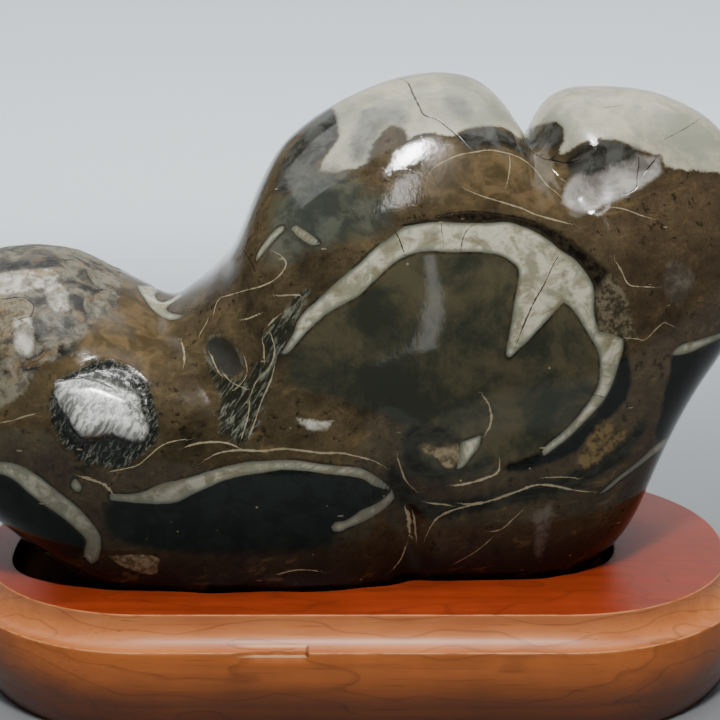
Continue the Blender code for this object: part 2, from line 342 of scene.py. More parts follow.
PINK_PATCH_PX = (
    (-24, 306), (0, 300), (23, 298), (33, 305), (30, 316), (15, 320), (10, 336), (0, 339),
    (-20, 330),
)
YELLOW_PATCH_PX = ((0, 344), (14, 345), (13, 357), (0, 358))
LEFT_SHOULDER_PX = (
    (162, 372), (178, 366), (196, 378), (206, 398), (206, 424), (196, 440), (174, 440),
    (162, 420), (158, 398),
)
UNWAXED_PX = (
    (122, 330), (160, 325), (190, 350), (215, 372), (232, 400), (222, 436), (190, 446), (160, 440),
    (150, 400), (140, 370),
)
FLANK_PX = (
    (300, 124), (278, 152), (262, 184), (249, 216), (236, 246), (222, 270), (236, 276), (254, 254),
    (268, 228), (276, 204), (286, 180), (302, 156), (318, 132),
)
EYE_BROW_PX = (
    (44, 346), (80, 332), (122, 330), (156, 350), (160, 380), (146, 370), (128, 356), (98, 352),
    (68, 362), (52, 374),
)
SADDLE_GREEN_PX = (
    (296, 170), (322, 166), (350, 176), (366, 196), (362, 222), (340, 240), (312, 250), (282, 262),
    (262, 258), (270, 232), (282, 200),
)
ARC_GREEN_PX = ((350, 196), (376, 192), (394, 204), (392, 224), (366, 236), (346, 226))
MAUVE_PX = (
    (668, 264), (679, 260), (689, 269), (692, 285), (686, 299), (677, 305), (668, 296), (665, 280),
)
OCHRE_PX = (
    (122, 279), (138, 286), (147, 304), (165, 318), (181, 320), (168, 341), (158, 364),
    (147, 377), (129, 366), (110, 360), (92, 361), (76, 368), (60, 361), (74, 351),
    (80, 340), (99, 319), (116, 305),
)
OLIVE_PX = (
    (429, 140), (452, 138), (470, 150), (489, 149), (507, 150), (525, 161), (544, 181),
    (562, 200), (557, 218), (534, 211), (502, 202), (489, 207), (461, 209), (438, 211),
    (427, 197), (427, 174),
)
ROUGH_OCHRE_PX = (
    (603, 421), (629, 428), (624, 439), (603, 456), (590, 470), (578, 465), (585, 444),
)
TRAPEZOID_PX = (
    (108, 556), (124, 555), (147, 555), (160, 559), (156, 574), (145, 574), (133, 570),
    (122, 566),
)
TAN_BLOTCH_PX = ((296, 419), (310, 420), (331, 423), (328, 429), (312, 430), (303, 424))

# Markings behind, in the manner of those in front: a whorl's wall, its chambers and a low band
REAR_ARC_MM = crescent((24, 74), (66, 52), -32, 196, 10, 0.45, 44)
REAR_CHAMBER_MM = oval((26, 72), (60, 46))
REAR_LOBE_ARC_MM = crescent((-96, 50), (44, 34), 8, 172, 7, 0.7)
REAR_LOBE_CHAMBER_MM = oval((-96, 42), (38, 28), 4)
REAR_LOW_BAND_MM = crescent((12, -18), (86, 40), 22, 158, 6, 0.6)
REAR_LOW_CHAMBER_MM = oval((12, 2), (72, 16))
REAR_SEPTUM_1_MM = crescent((-14, 60), (34, 46), -40, 62, 4.5)
REAR_SEPTUM_2_MM = crescent((24, 58), (36, 50), -44, 66, 4.5)
REAR_SMUDGE_MM = oval((96, 116), (20, 12), -24, 0.2)
REAR_OCHRE_MM = oval((-44, 84), (18, 12), -40, 0.2)


def in_front(*outlines):
    """Markings that the photograph shows, each made of one outline."""
    return tuple((("photo", outline),) for outline in outlines)


def behind(*outlines):
    """Markings on the other side, each made of one outline."""
    return tuple((("behind", outline),) for outline in outlines)


# Each kind of marking is the union of its shapes. A shape is made of parts: a view and an outline.
MARKINGS = {
    "cap": (
        (("photo", LEFT_CAP_PX), ("behind", LEFT_CAP_BEHIND_MM)),
        (("photo", RIGHT_CAP_PX), ("behind", RIGHT_CAP_BEHIND_MM)),
    ),
    "weathered": (
        (("photo", WEATHERED_PX), ("behind", WEATHERED_BEHIND_MM)),
    ),
    "calcite": in_front(
        GREAT_ARC_PX, BAND_A_PX, BAND_B_PX, BAND_B_HOOK_PX, RIGHT_EDGE_SHELL_PX, SLOPE_STREAK_PX,
        V_MARK_PX, HOOK_PX, BLOB_PX, LEFT_BAR_PX, RIGHT_BAR_PX,
    ) + behind(
        REAR_ARC_MM, REAR_LOBE_ARC_MM, REAR_LOW_BAND_MM, REAR_SEPTUM_1_MM, REAR_SEPTUM_2_MM,
    ),
    "chamber": (
        in_front(GREAT_CHAMBER_PX, GREAT_ARC_PX, GREEN_STREAKS_PX) + behind(REAR_CHAMBER_MM)
    ),
    "black": (
        in_front(LEFT_CHAMBER_PX, SLOPE_DARK_PX, RIM_RIGHT_PX)
        + behind(REAR_LOBE_CHAMBER_MM, REAR_LOW_CHAMBER_MM)
    ),
    "deep": in_front(LOWER_CHAMBER_PX),
    "seam": in_front(LOWER_SEAM_PX, HOOK_DARK_PX),
    "shade": in_front(RIM_TOP_PX),
    "haze": in_front(CAP_SMUDGE_PX, CAP_BLOTCH_PX),
    # Dark grey on the hump, the facet's upper part, a streak and behind, and painted shade in the
    # notch's hollow and under the left cap's edge
    "smoke": (
        in_front(HUMP_GREY_PX, HOLLOW_PX, UNDER_CAP_PX, FACET_DARK_PX, DARK_STREAK_PX)
        + behind(REAR_SMUDGE_MM)
    ),
    "greenish": in_front(SADDLE_GREEN_PX, ARC_GREEN_PX),
    "fibre": in_front(FIBRES_PX, SHEAR_ZONE_PX),
    "coarse": in_front(TEXTURED_PX),
    "crumb": in_front(ROUGH_OCHRE_PX),
    "ochre": in_front(OCHRE_PX, OLIVE_PX) + behind(REAR_OCHRE_MM),
    "mauve": in_front(MAUVE_PX, ICICLE_PX),
    "tan": in_front(TRAPEZOID_PX, PINK_PATCH_PX, YELLOW_PATCH_PX, HOOK_BLOCK_PX),
    "snow": in_front(PALE_PATCH_1_PX, PALE_PATCH_2_PX, PALE_SHEET_PX, TAN_BLOTCH_PX),
    # Painted reflection: the dished facet's pale sheen
    "sheen": in_front(FACET_PX),
    "matt": in_front(LEFT_SHOULDER_PX, FACET_PX),
    "bare": in_front(HOLLOW_PX, FACET_DARK_PX, UNWAXED_PX, FLANK_PX, EYE_BROW_PX),
    "bulge": in_front(EYE_BULGE_PX),
    "ring": in_front(EYE_RING_PX),
    "pit": in_front(OVAL_PIT_PX),
    "hollow": in_front(HOLLOW_PX),
    "facet": in_front(FACET_PX),
}

# Pale lines of calcite in the photograph: half their width in millimetres, and their places
PALE_LINES = (
    (0.28, (
        (272, 251), (280, 255), (286, 262), (285, 268), (279, 276), (271, 282), (259, 287),
        (243, 291), (230, 295), (220, 298), (216, 304), (214, 312), (212, 319),
    )),
    (0.3, ((209, 318), (204, 327), (199, 336))),
    (0.3, ((276, 296), (289, 295), (301, 295))),
    (0.3, ((243, 320), (250, 318), (258, 314))),
    (0.35, ((268, 326), (273, 320), (280, 315))),
    (0.3, ((263, 341), (264, 350), (264, 362))),
    (0.45, ((181, 341), (184, 351), (184, 363))),
    (0.26, (
        (427, 179), (431, 170), (443, 162), (459, 155), (475, 152), (489, 150), (502, 152),
        (516, 156), (528, 163), (537, 172), (546, 184), (557, 193), (567, 202), (576, 207),
    )),
    (0.22, ((509, 154), (510, 165), (508, 179), (506, 186))),
    (0.32, (
        (463, 188), (479, 195), (498, 201), (521, 208), (534, 214), (555, 220), (572, 224),
    )),
    (0.22, ((574, 193), (590, 200), (606, 206), (624, 209), (640, 215), (654, 219))),
    (0.26, ((624, 338), (638, 339), (645, 340), (656, 329), (664, 322), (675, 327))),
    (0.24, ((615, 260), (622, 272), (626, 281), (633, 286), (656, 287))),
    (0.34, ((184, 448), (195, 444), (211, 442), (227, 443), (239, 448))),
    (0.42, (
        (204, 461), (216, 454), (230, 451), (243, 450), (262, 451), (280, 449), (298, 450),
        (321, 453), (340, 453), (360, 457), (374, 461), (385, 467),
    )),
    (0.7, ((81, 477), (92, 480), (103, 484), (112, 492))),
    (0.24, (
        (108, 472), (124, 469), (138, 465), (149, 456), (161, 446), (174, 441), (188, 439),
    )),
    (0.55, ((483, 396), (488, 403), (491, 412), (491, 423), (486, 433))),
    (0.36, ((398, 458), (401, 469), (406, 481), (415, 490))),
    (0.4, ((427, 503), (438, 504), (450, 505))),
    (0.5, (
        (425, 539), (431, 526), (440, 516), (456, 509), (472, 505), (489, 501), (507, 495),
        (521, 490), (537, 485), (555, 486), (574, 490), (592, 492),
    )),
    (0.8, ((407, 510), (409, 522), (410, 534))),
    (0.5, ((414, 515), (415, 526), (416, 538))),
    (0.35, ((461, 504), (470, 504), (480, 502))),
    (0.5, ((452, 486), (470, 483), (486, 478), (498, 472), (500, 461))),
    (0.3, ((489, 532), (502, 529), (512, 520), (523, 510))),
    (0.24, ((454, 564), (475, 552), (492, 538))),
    (0.3, ((392, 570), (401, 559), (406, 545))),
    (0.26, ((544, 478), (560, 477), (578, 478))),
    (0.26, ((277, 575), (296, 570), (320, 571))),
    (0.24, ((243, 352), (246, 363), (247, 374), (241, 384), (232, 392))),
    (0.2, ((222, 372), (230, 381), (239, 386), (248, 389))),
    (0.22, ((209, 352), (214, 364), (220, 375))),
    (0.3, ((269, 328), (274, 345), (274, 356), (268, 370), (256, 382), (250, 398))),
    (0.34, ((275, 364), (271, 380), (262, 400), (255, 421), (248, 439))),
    (0.3, ((250, 398), (248, 416), (241, 439))),
    (0.3, ((0, 423), (14, 420), (26, 416), (36, 414))),
)
# Dark cracks, in the same form
CRACKS = (
    (0.42, (
        (399, 78), (408, 83), (413, 94), (420, 108), (424, 115), (436, 119), (450, 129),
        (459, 138), (468, 147), (475, 152),
    )),
    (0.34, (
        (561, 252), (553, 265), (547, 279), (541, 290), (534, 302), (529, 313), (523, 327),
        (516, 345),
    )),
    (0.24, ((475, 224), (468, 229), (463, 238), (461, 249))),
    (0.18, ((441, 223), (442, 232), (443, 240))),
    (0.26, ((639, 154), (640, 165), (638, 179), (636, 189), (624, 195))),
    (0.26, ((657, 158), (649, 168), (642, 177))),
    (0.35, ((521, 141), (530, 149), (541, 158), (555, 161), (568, 163), (580, 159))),
    (0.7, ((57, 382), (76, 377), (92, 379), (106, 384), (119, 392))),
    (0.26, ((396, 232), (400, 241), (404, 253))),
    (0.4, ((403, 226), (410, 224), (420, 223))),
    (0.16, ((663, 140), (677, 133), (691, 125), (700, 118))),
    (0.16, ((603, 108), (617, 106), (623, 104))),
    (0.2, ((596, 395), (603, 397))),
    (0.25, ((243, 249), (248, 257), (254, 268), (255, 273))),
    (0.3, ((0, 299), (23, 297), (34, 305), (31, 316), (15, 320))),
    (0.3, ((434, 217), (461, 212), (479, 212), (498, 214), (521, 218), (544, 224))),
)


# Small helpers

def linear(code):
    """An sRGB hex code as a linear colour with full alpha."""
    levels = [int(code[i:i + 2], 16) / 255 for i in (1, 3, 5)]
    return (*[v / 12.92 if v <= 0.04045 else ((v + 0.055) / 1.055) ** 2.4 for v in levels], 1)


def add(tree, kind, inputs=None, **settings):
    """Adds a node: settings are its properties, inputs its sockets' values or what they link to."""
    node = tree.nodes.new(kind)
    for name, value in settings.items():
        setattr(node, name, value)
    for key, value in (inputs or {}).items():
        if isinstance(value, bpy.types.NodeSocket):
            tree.links.new(value, node.inputs[key])
        else:
            node.inputs[key].default_value = value
    return node


def smooth_step(start, end, x):
    """0 before start and 1 after end, easing in between."""
    t = np.clip((x - start) / (end - start), 0, 1)
    return t * t * (3 - 2 * t)


def put(name, data):
    """A new object in the scene."""
    made = bpy.data.objects.new(name, data)
    bpy.context.scene.collection.objects.link(made)
    return made


def plain_mesh(piece):
    """What a piece's modifiers make of it, as a mesh of its own."""
    bpy.context.view_layer.update()
    graph = bpy.context.evaluated_depsgraph_get()
    return bpy.data.meshes.new_from_object(piece.evaluated_get(graph))


def face_outwards(mesh):
    """Turns the faces of a closed mesh outwards."""
    shape = bmesh.new()
    shape.from_mesh(mesh)
    bmesh.ops.recalc_face_normals(shape, faces=shape.faces)
    shape.to_mesh(mesh)
    shape.free()


def store(mesh, name, values):
    """Gives each point of a mesh its own number under a name, for the materials to read."""
    made = mesh.attributes.new(name, "FLOAT", "POINT")
    made.data.foreach_set("value", np.asarray(values, np.float32))


def finish_piece(piece, node):
    """Hangs a finished piece under the root body, and hides the CAD node that it stands for."""
    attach(piece, "root")
    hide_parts(node)


# The stone's surface

def node_rings(node):
    """The CAD stone's rings in millimetres, each from underneath up the front, and its end points."""
    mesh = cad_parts[node].data
    points = np.empty(len(mesh.vertices) * 3)
    mesh.vertices.foreach_get("co", points)
    points = np.unique(np.round(points.reshape(-1, 3) / MM, 3), axis=0)
    floor = points[:, 2].min()
    places, count = np.unique(points[:, 0], return_counts=True)
    ends = [points[points[:, 0] == places[i]][0] for i in (0, -1)]
    rings = []
    for x in places[count > 1]:
        ring = points[points[:, 0] == x]
        away = ring - ring.mean(axis=0)
        ring = ring[np.argsort(np.arctan2(-away[:, 1], -away[:, 2]) % (2 * math.pi))]
        rings.append(fill_flat(ring, floor))
    return rings, ends


def fill_flat(ring, floor):
    """A ring whose long chord along the flat resting spot is given evenly spaced points."""
    ahead = np.roll(ring, -1, axis=0)
    gaps = np.linalg.norm(ahead - ring, axis=1)
    usual = np.median(gaps)
    run = []
    for start, end, gap in zip(ring, ahead, gaps):
        flat = max(start[2], end[2]) < floor + 0.01
        parts = max(1, round(gap / usual)) if flat else 1
        run += [start + (end - start) * i / parts for i in range(parts)]
    return np.array(run)


def spline_bends(steps, values, closed=False):
    """Second derivatives of the cubic spline through values, along the first axis."""
    count = len(values)
    matrix, right = np.eye(count), np.zeros_like(values)
    for i in range(count):
        if not closed and i in (0, count - 1):
            continue
        before, after = steps[i - 1], steps[i]
        matrix[i, i] = 2 * (before + after)
        matrix[i, i - 1] += before
        matrix[i, (i + 1) % count] += after
        rise = (values[(i + 1) % count] - values[i]) / after - (values[i] - values[i - 1]) / before
        right[i] = 6 * rise
    return np.linalg.solve(matrix, right.reshape(count, -1)).reshape(values.shape)


def spline(knots, values, at, closed=False, length=None):
    """The cubic spline through values at the knots, read at new places."""
    steps = np.diff(np.r_[knots, length]) if closed else np.diff(knots)
    bends = spline_bends(steps, values, closed)
    i = np.clip(np.searchsorted(knots, at, side="right") - 1, 0, len(steps) - 1)
    j = (i + 1) % len(values)
    shape = (-1,) + (1,) * (values.ndim - 1)
    step, t = steps[i].reshape(shape), ((at - knots[i]) / steps[i]).reshape(shape)
    s = 1 - t
    curve = ((s**3 - s) * bends[i] + (t**3 - t) * bends[j]) * step**2 / 6
    return s * values[i] + t * values[j] + curve


def resample_ring(ring, columns):
    """One ring at new places round it: closest together on the front, sparse behind and underneath."""
    knots = np.r_[0, np.cumsum(np.linalg.norm(np.roll(ring, -1, axis=0) - ring, axis=1))]
    steps = len(ring) * 8
    at = np.arange(steps) / steps * knots[-1]
    fine = spline(knots[:-1], ring, at, closed=True, length=knots[-1])
    low, high = fine.min(axis=0), fine.max(axis=0)
    middle, half = (high + low) / 2, np.maximum((high - low) / 2, 0.1)

    # Starts straight below the middle, between two of the fine points
    side = middle[1] - fine[:, 1]
    ahead = np.roll(side, -1)
    crossing = np.nonzero((side <= 0) & (ahead > 0) & (fine[:, 2] < middle[2]))[0][0]
    begin = crossing + side[crossing] / (side[crossing] - ahead[crossing])

    behind_share, front_share, under_share = DENSITY
    front = smooth_step(-0.9, 0.3, side / half[1])
    under = smooth_step(-0.3, -0.9, (fine[:, 2] - middle[2]) / half[2])
    length = np.linalg.norm(np.roll(fine, -1, axis=0) - fine, axis=1)
    weight = length * (behind_share + front_share * front - under_share * under)
    total = weight.sum()
    share = np.r_[0, np.cumsum(np.tile(weight, 2))]
    first = np.interp(begin, np.arange(len(share)), share)
    places = np.interp(first + total * np.arange(columns) / columns, share, np.arange(len(share)))
    at = places % steps / steps * knots[-1]
    return spline(knots[:-1], ring, at, closed=True, length=knots[-1])


def stone_grid(rows, columns):
    """The stone as a fine grid of points: rings along it, columns round it, and its two ends."""
    rings, ends = node_rings("fossil_nautilus")
    rings = np.array([resample_ring(ring, columns) for ring in rings])
    through = [rings]
    for end, pair in ((ends[0], rings[1::-1]), (ends[1], rings[:-3:-1])):
        beyond = pair * (1, -1, -1) + np.array((0, 2 * end[1], 2 * end[2]))
        tip = np.broadcast_to(end, (1, columns, 3))
        through = [beyond, tip] + through if end is ends[0] else through + [tip, beyond]
    through = np.concatenate(through)
    gaps = np.linalg.norm(np.diff(through, axis=0), axis=2).mean(axis=1)
    knots = np.r_[0, np.cumsum(gaps)]
    first, last = knots[2], knots[-3]
    at = first + (last - first) * np.arange(1, rows + 1) / (rows + 1)
    grid = spline(knots, through, at)
    floor = rings[:, :, 2].min()
    grid[:, :, 2] = np.maximum(grid[:, :, 2], floor)
    return grid, ends


def grid_normals(grid):
    """The outward direction at each point of the grid."""
    along = np.gradient(grid, axis=0)
    around = np.roll(grid, -1, axis=1) - np.roll(grid, 1, axis=1)
    normals = np.cross(around, along)
    normals /= np.maximum(np.linalg.norm(normals, axis=2), 1e-9)[:, :, None]
    outward = grid - grid.mean(axis=1, keepdims=True)
    return normals * np.sign((normals * outward).sum())


def quads(rows, columns):
    """Faces between the rings of a grid that closes round itself."""
    i, j = np.meshgrid(np.arange(rows - 1), np.arange(columns), indexing="ij")
    k = (j + 1) % columns
    corners = (i * columns + j, i * columns + k, (i + 1) * columns + k, (i + 1) * columns + j)
    return np.stack(corners, axis=-1).reshape(-1, 4).tolist()


# Markings on the stone

def smooth_run(points, closed, step):
    """Points a step apart on a smooth curve through those of an outline, which keeps its corners."""
    run = np.array(points, float)
    count = len(run)
    before, after = np.roll(run, 1, axis=0), np.roll(run, -1, axis=0)
    came, goes = run - before, after - run
    turn = np.abs((np.arctan2(goes[:, 1], goes[:, 0]) - np.arctan2(came[:, 1], came[:, 0])
                   + math.pi) % (2 * math.pi) - math.pi)
    ease = np.where(turn > SHARP_TURN, 0.0, 1.0)
    if not closed:
        ease[[0, -1]] = 0.0
    tangent = (after - before) / 2 * ease[:, None]
    dense = []
    for i in range(count if closed else count - 1):
        j = (i + 1) % count
        parts = max(1, round(float(np.hypot(*(run[j] - run[i]))) / step))
        t = (np.arange(parts) / parts)[:, None]
        dense.append(run[i] * (1 + 2 * t) * (1 - t) ** 2 + tangent[i] * t * (1 - t) ** 2
                     + run[j] * t * t * (3 - 2 * t) - tangent[j] * t * t * (1 - t))
    if not closed:
        dense.append(run[-1:])
    return np.concatenate(dense)


class Surface:
    """The stone's grid, and where a line of sight meets it."""

    def __init__(self, grid):
        self.grid = grid
        self.rows, self.columns, _ = grid.shape
        self.points = grid.reshape(-1, 3)
        self.normals = grid_normals(grid)
        self.facing = self.normals.reshape(-1, 3)
        self.tree = BVHTree.FromPolygons(self.points.tolist(), quads(self.rows, self.columns))

    def meet(self, view, place):
        """Where the place of a view lies on the stone: its (row, column) and its point, or None."""
        if view == "photo":
            right, down = place[0] - IMAGE_PX / 2, place[1] - IMAGE_PX / 2
            c, s = math.cos(CAMERA_DOWN), math.sin(CAMERA_DOWN)
            start = Vector(CAMERA_MM)
            toward = Vector((right, FOCAL_PX * c - down * s, -FOCAL_PX * s - down * c))
        else:
            start = Vector((place[0], 1000, place[1] + STAND_TOP_MM))
            toward = Vector((0, -1, 0))
        point, _, face, _ = self.tree.ray_cast(start, toward.normalized())
        if point is None:
            return None
        i, j = divmod(face, self.columns)
        corner, beside = self.grid[i, j], self.grid[i, (j + 1) % self.columns]
        edges = np.stack([self.grid[i + 1, j] - corner, beside - corner])
        share = np.linalg.lstsq(edges.T, np.array(point) - corner, rcond=None)[0]
        return (i + share[0], j + share[1]), np.array(point)

    def trace(self, parts, closed):
        """A marking's run as (row, column) and as points. A place that misses the stone is left out."""
        places, points = [], []
        for view, run in parts:
            step = OUTLINE_STEP_PX if view == "photo" else OUTLINE_STEP_MM
            whole = closed and len(parts) == 1
            for place in smooth_run(run, whole, step):
                met = self.meet(view, place)
                if met:
                    places.append(met[0])
                    points.append(met[1])
        if len(places) < 2:
            raise RuntimeError(f"a marking misses the stone: {parts[0][1][0]}")
        return np.array(places), np.array(points)

    def near(self, points):
        """Indices of the grid's points that a marking can reach."""
        low, high = points.min(axis=0) - REACH_MM, points.max(axis=0) + REACH_MM
        return np.nonzero(((self.points >= low) & (self.points <= high)).all(axis=1))[0]

    def spread(self, points, chosen, closed):
        """For each chosen point of the grid: the distance to a run, and its nearest segment."""
        places = self.points[chosen]
        starts = points if closed else points[:-1]
        ends = np.roll(points, -1, axis=0) if closed else points[1:]
        ways = ends - starts
        squares = np.maximum((ways**2).sum(axis=1), 1e-12)
        distance = np.empty(len(places))
        segment = np.empty(len(places), int)
        for first in range(0, len(places), BATCH):
            batch = slice(first, first + BATCH)
            away = places[batch][:, None] - starts[None]
            share = np.clip((away * ways).sum(axis=2) / squares, 0, 1)
            away -= share[:, :, None] * ways
            squared = (away**2).sum(axis=2)
            segment[batch] = squared.argmin(axis=1)
            distance[batch] = np.sqrt(squared.min(axis=1))
        return distance, segment

    def area(self, shapes):
        """Depth inside the union of closed shapes in millimetres, and minus the distance outside."""
        depth = np.full(len(self.points), -REACH_MM)
        for parts in shapes:
            places, points = self.trace(parts, True)
            chosen = self.near(points)
            distance, _ = self.spread(points, chosen, True)
            u, v = np.divmod(chosen, self.columns)
            inside = np.zeros(len(chosen), bool)
            for (u0, v0), (u1, v1) in zip(places, np.roll(places, -1, axis=0)):
                if u0 == u1:
                    continue
                crosses = (u0 > u) != (u1 > u)
                inside ^= crosses & (v < (v1 - v0) * (u - u0) / (u1 - u0) + v0)
            signed = np.where(inside, 1, -1) * np.minimum(distance, REACH_MM)
            depth[chosen] = np.maximum(depth[chosen], signed)
        return depth

    def line_sets(self, view_lines):
        """Thin lines sorted into sets that keep clear of each other, each set with its two values."""
        sets = []
        for view, (half_width, run) in view_lines:
            _, points = self.trace(((view, run),), False)
            for members in sets:
                others = np.concatenate([other for _, other in members])
                gaps = np.linalg.norm(points[:, None] - others[None], axis=2)
                if gaps.min() > LINE_CLEARANCE_MM:
                    members.append((half_width, points))
                    break
            else:
                sets.append([(half_width, points)])
        return [self.lines(members) for members in sets]

    def lines(self, members):
        """For thin lines: the side distance over the half width, and the distance in millimetres."""
        side = np.full(len(self.points), FAR_SIDE)
        close = np.full(len(self.points), REACH_MM)
        for half_width, points in members:
            chosen = self.near(points)
            distance, segment = self.spread(points, chosen, False)
            ways = np.diff(points, axis=0)
            away = self.points[chosen] - points[segment]
            left = (np.cross(ways[segment], away) * self.facing[chosen]).sum(axis=1)
            along = (segment + 0.5) / len(ways)
            taper = np.clip(np.minimum(along, 1 - along) * 6, 0.12, 1) ** 0.7
            value = np.where(left < 0, -1, 1) * distance / (half_width * taper)
            nearer = distance < close[chosen]
            side[chosen[nearer]] = np.clip(value[nearer], -FAR_SIDE, FAR_SIDE)
            close[chosen[nearer]] = distance[nearer]
        return side, close


def wandering_cracks(seed, count):
    """Thin natural cracks on the side that the photograph doesn't show, as runs of (x, height)."""
    draw = np.random.RandomState(seed)
    runs = []
    for _ in range(count):
        x, height, heading = draw.uniform(-100, 100), draw.uniform(15, 65), draw.uniform(0, 6.28)
        run = []
        for _ in range(draw.randint(5, 12)):
            run.append((x, height))
            heading += draw.normal(0, 0.35)
            x += CRACK_STEP_MM * math.cos(heading)
            height += CRACK_STEP_MM * math.sin(heading)
        runs.append((draw.uniform(0.16, 0.34), tuple(run)))
    return runs


def lumps(points, height, size, seed):
    """Smooth noise at points in millimetres, up to a height on either side."""
    shift = Vector((seed * 7.3, seed * 3.1, seed * 5.7))
    return height * np.array([noise.noise(Vector(p) / size + shift) for p in points])


def carve(surface, depths):
    """How far each point stands out or in: the eye, the pits, the dished facet and hand polishing."""
    points, bulge = surface.points, depths["bulge"]
    rise = sum(lumps(points, *kind) for kind in POLISHING_LUMPS)
    for name, deep, start, end in SUNKEN:
        rise += deep * smooth_step(start, end, depths[name])
    worn = smooth_step(-1, 2, depths["weathered"])
    rise += worn * (lumps(points, *WEATHERED_LUMPS) - WEATHERED_DEEP_MM)
    coarse = smooth_step(-0.5, 1.5, np.maximum(depths["ring"], depths["fibre"]))
    coarse *= 1 - smooth_step(-1.5, 0.5, bulge)
    rise += coarse * lumps(points, *COARSE_LUMPS)

    # The eye's boss was ground nearly flat, and faces a little upwards
    _, middle = surface.meet("photo", BOSS_MIDDLE_PX)
    facing = np.maximum(surface.facing @ BOSS_FACES, 0.5)
    away = points - middle
    level = np.clip(-(away @ BOSS_FACES) / facing, -4, 4)
    arch = away[:, 2] ** 2 / BOSS_ARCH_MM + away[:, 0] ** 2 / (4 * BOSS_ARCH_MM)
    share = smooth_step(-3.4, 4.2, bulge)
    return rise * (1 - share) + (level + 0.7 - arch) * share


def stone_mesh(rings, ends):
    """A closed mesh of rings in millimetres, with a fan to the end point at either end."""
    rows, columns, _ = rings.shape
    first, last = rows * columns, (rows - 1) * columns
    faces = quads(rows, columns)
    for j in range(columns):
        k = (j + 1) % columns
        faces += [(first, k, j), (first + 1, last + j, last + k)]
    mesh = bpy.data.meshes.new("nautilus_stone")
    mesh.from_pydata((np.concatenate([rings.reshape(-1, 3), ends]) * MM).tolist(), [], faces)
    face_outwards(mesh)
    mesh.shade_smooth()
    return mesh


def make_stone(settings):
    """The fine stone: its surface, its relief, and its markings as attributes of its points."""
    grid, ends = stone_grid(ROWS, COLUMNS)
    surface = Surface(grid)
    values = {name: surface.area(shapes) for name, shapes in MARKINGS.items()}
    floor = grid[:, :, 2].min()
    resting = grid[:, :, 2] < floor + RESTING_MM
    rise = np.where(resting, 0, carve(surface, values).reshape(ROWS, COLUMNS))
    fine = grid + surface.normals * rise[:, :, None]
    fine[:, :, 2] = np.maximum(fine[:, :, 2], floor)
    mesh = stone_mesh(fine, ends)

    pale = [("photo", line) for line in PALE_LINES]
    dark = [("photo", line) for line in CRACKS]
    dark += [("behind", line) for line in wandering_cracks(REAR_CRACK_SEED, REAR_CRACKS)]
    counts = {}
    for name, lines in (("pale", pale), ("crack", dark)):
        sets = surface.line_sets(lines)
        counts[name] = len(sets)
        for i, (side, near) in enumerate(sets):
            values[f"{name}_side_{i}"], values[f"{name}_near_{i}"] = side, near
    for name, value in values.items():
        store(mesh, name, np.r_[value, -REACH_MM, -REACH_MM])
    mesh.materials.append(stone_material(settings, counts))
    return put("nautilus_stone", mesh)


# The shaders' building blocks

def sums(tree, kind, *terms):
    """One step of arithmetic."""
    return add(tree, "ShaderNodeMath", dict(enumerate(terms)), operation=kind).outputs["Value"]


def product(tree, first, second):
    """Two values multiplied."""
    return sums(tree, "MULTIPLY", first, second)


def off(tree, value, place):
    """How far a value is from a place, on either side."""
    return sums(tree, "ABSOLUTE", sums(tree, "SUBTRACT", value, place))


def attribute(tree, name):
    """The number that each point of the mesh carries under a name."""
    return add(tree, "ShaderNodeAttribute", attribute_name=name).outputs["Fac"]


def noise_at(tree, where, size_mm, detail=4.0, roughness=0.6, distortion=0.0):
    """A noise whose lumps are about size_mm apart."""
    return add(tree, "ShaderNodeTexNoise", {
        "Vector": where, "Scale": 1 / (size_mm * MM), "Detail": detail, "Roughness": roughness,
        "Distortion": distortion,
    }).outputs["Fac"]


def slanted(tree, where, degrees, scale):
    """Places turned about Y and then scaled, so that a noise is drawn out along a slant."""
    turned = add(tree, "ShaderNodeMapping", {
        "Vector": where, "Rotation": (0.0, math.radians(degrees), 0.0),
    }).outputs["Vector"]
    return add(tree, "ShaderNodeMapping", {"Vector": turned, "Scale": scale}).outputs["Vector"]


def ramp(tree, value, low, high):
    """0 where the value is at low and 1 where it is at high, easing in between."""
    return add(tree, "ShaderNodeMapRange", {
        "Value": value, "From Min": low, "From Max": high,
    }, interpolation_type="SMOOTHSTEP").outputs["Result"]


def ramp_mm(tree, length, low, high):
    """A ramp over a length in metres, between limits in millimetres."""
    return ramp(tree, length, low * MM, high * MM)


def span(tree, value, start, end, low, high):
    """Low where the value is at start and high where it is at end, even in between."""
    return add(tree, "ShaderNodeMapRange", {
        "Value": value, "From Min": start, "From Max": end, "To Min": low, "To Max": high,
    }).outputs["Result"]


def blend(tree, share, below, above, how="MIX"):
    """Mixes two colours; either may be a hex code."""
    below, above = (linear(c) if isinstance(c, str) else c for c in (below, above))
    return add(tree, "ShaderNodeMix", {
        0: share, 6: below, 7: above,
    }, data_type="RGBA", blend_type=how).outputs[2]


def tint(tree, mask, strength, below, above):
    """Lays a colour over another where the mask is, at no more than a strength."""
    return blend(tree, product(tree, mask, strength), below, above)


def bumped(tree, height, strength, depth_mm):
    """The normal of a surface with fine relief."""
    return add(tree, "ShaderNodeBump", {
        "Strength": strength, "Distance": depth_mm * MM, "Height": height,
    }).outputs["Normal"]


def new_material(name):
    """A material with an empty node tree, and that tree."""
    made = bpy.data.materials.new(name)
    made.use_nodes = True
    made.node_tree.nodes.clear()
    return made, made.node_tree


def finish_material(tree, inputs):
    """Ends the tree in one Principled shader with these inputs."""
    shader = add(tree, "ShaderNodeBsdfPrincipled", inputs)
    add(tree, "ShaderNodeOutputMaterial", {"Surface": shader.outputs["BSDF"]})


# The stone's material

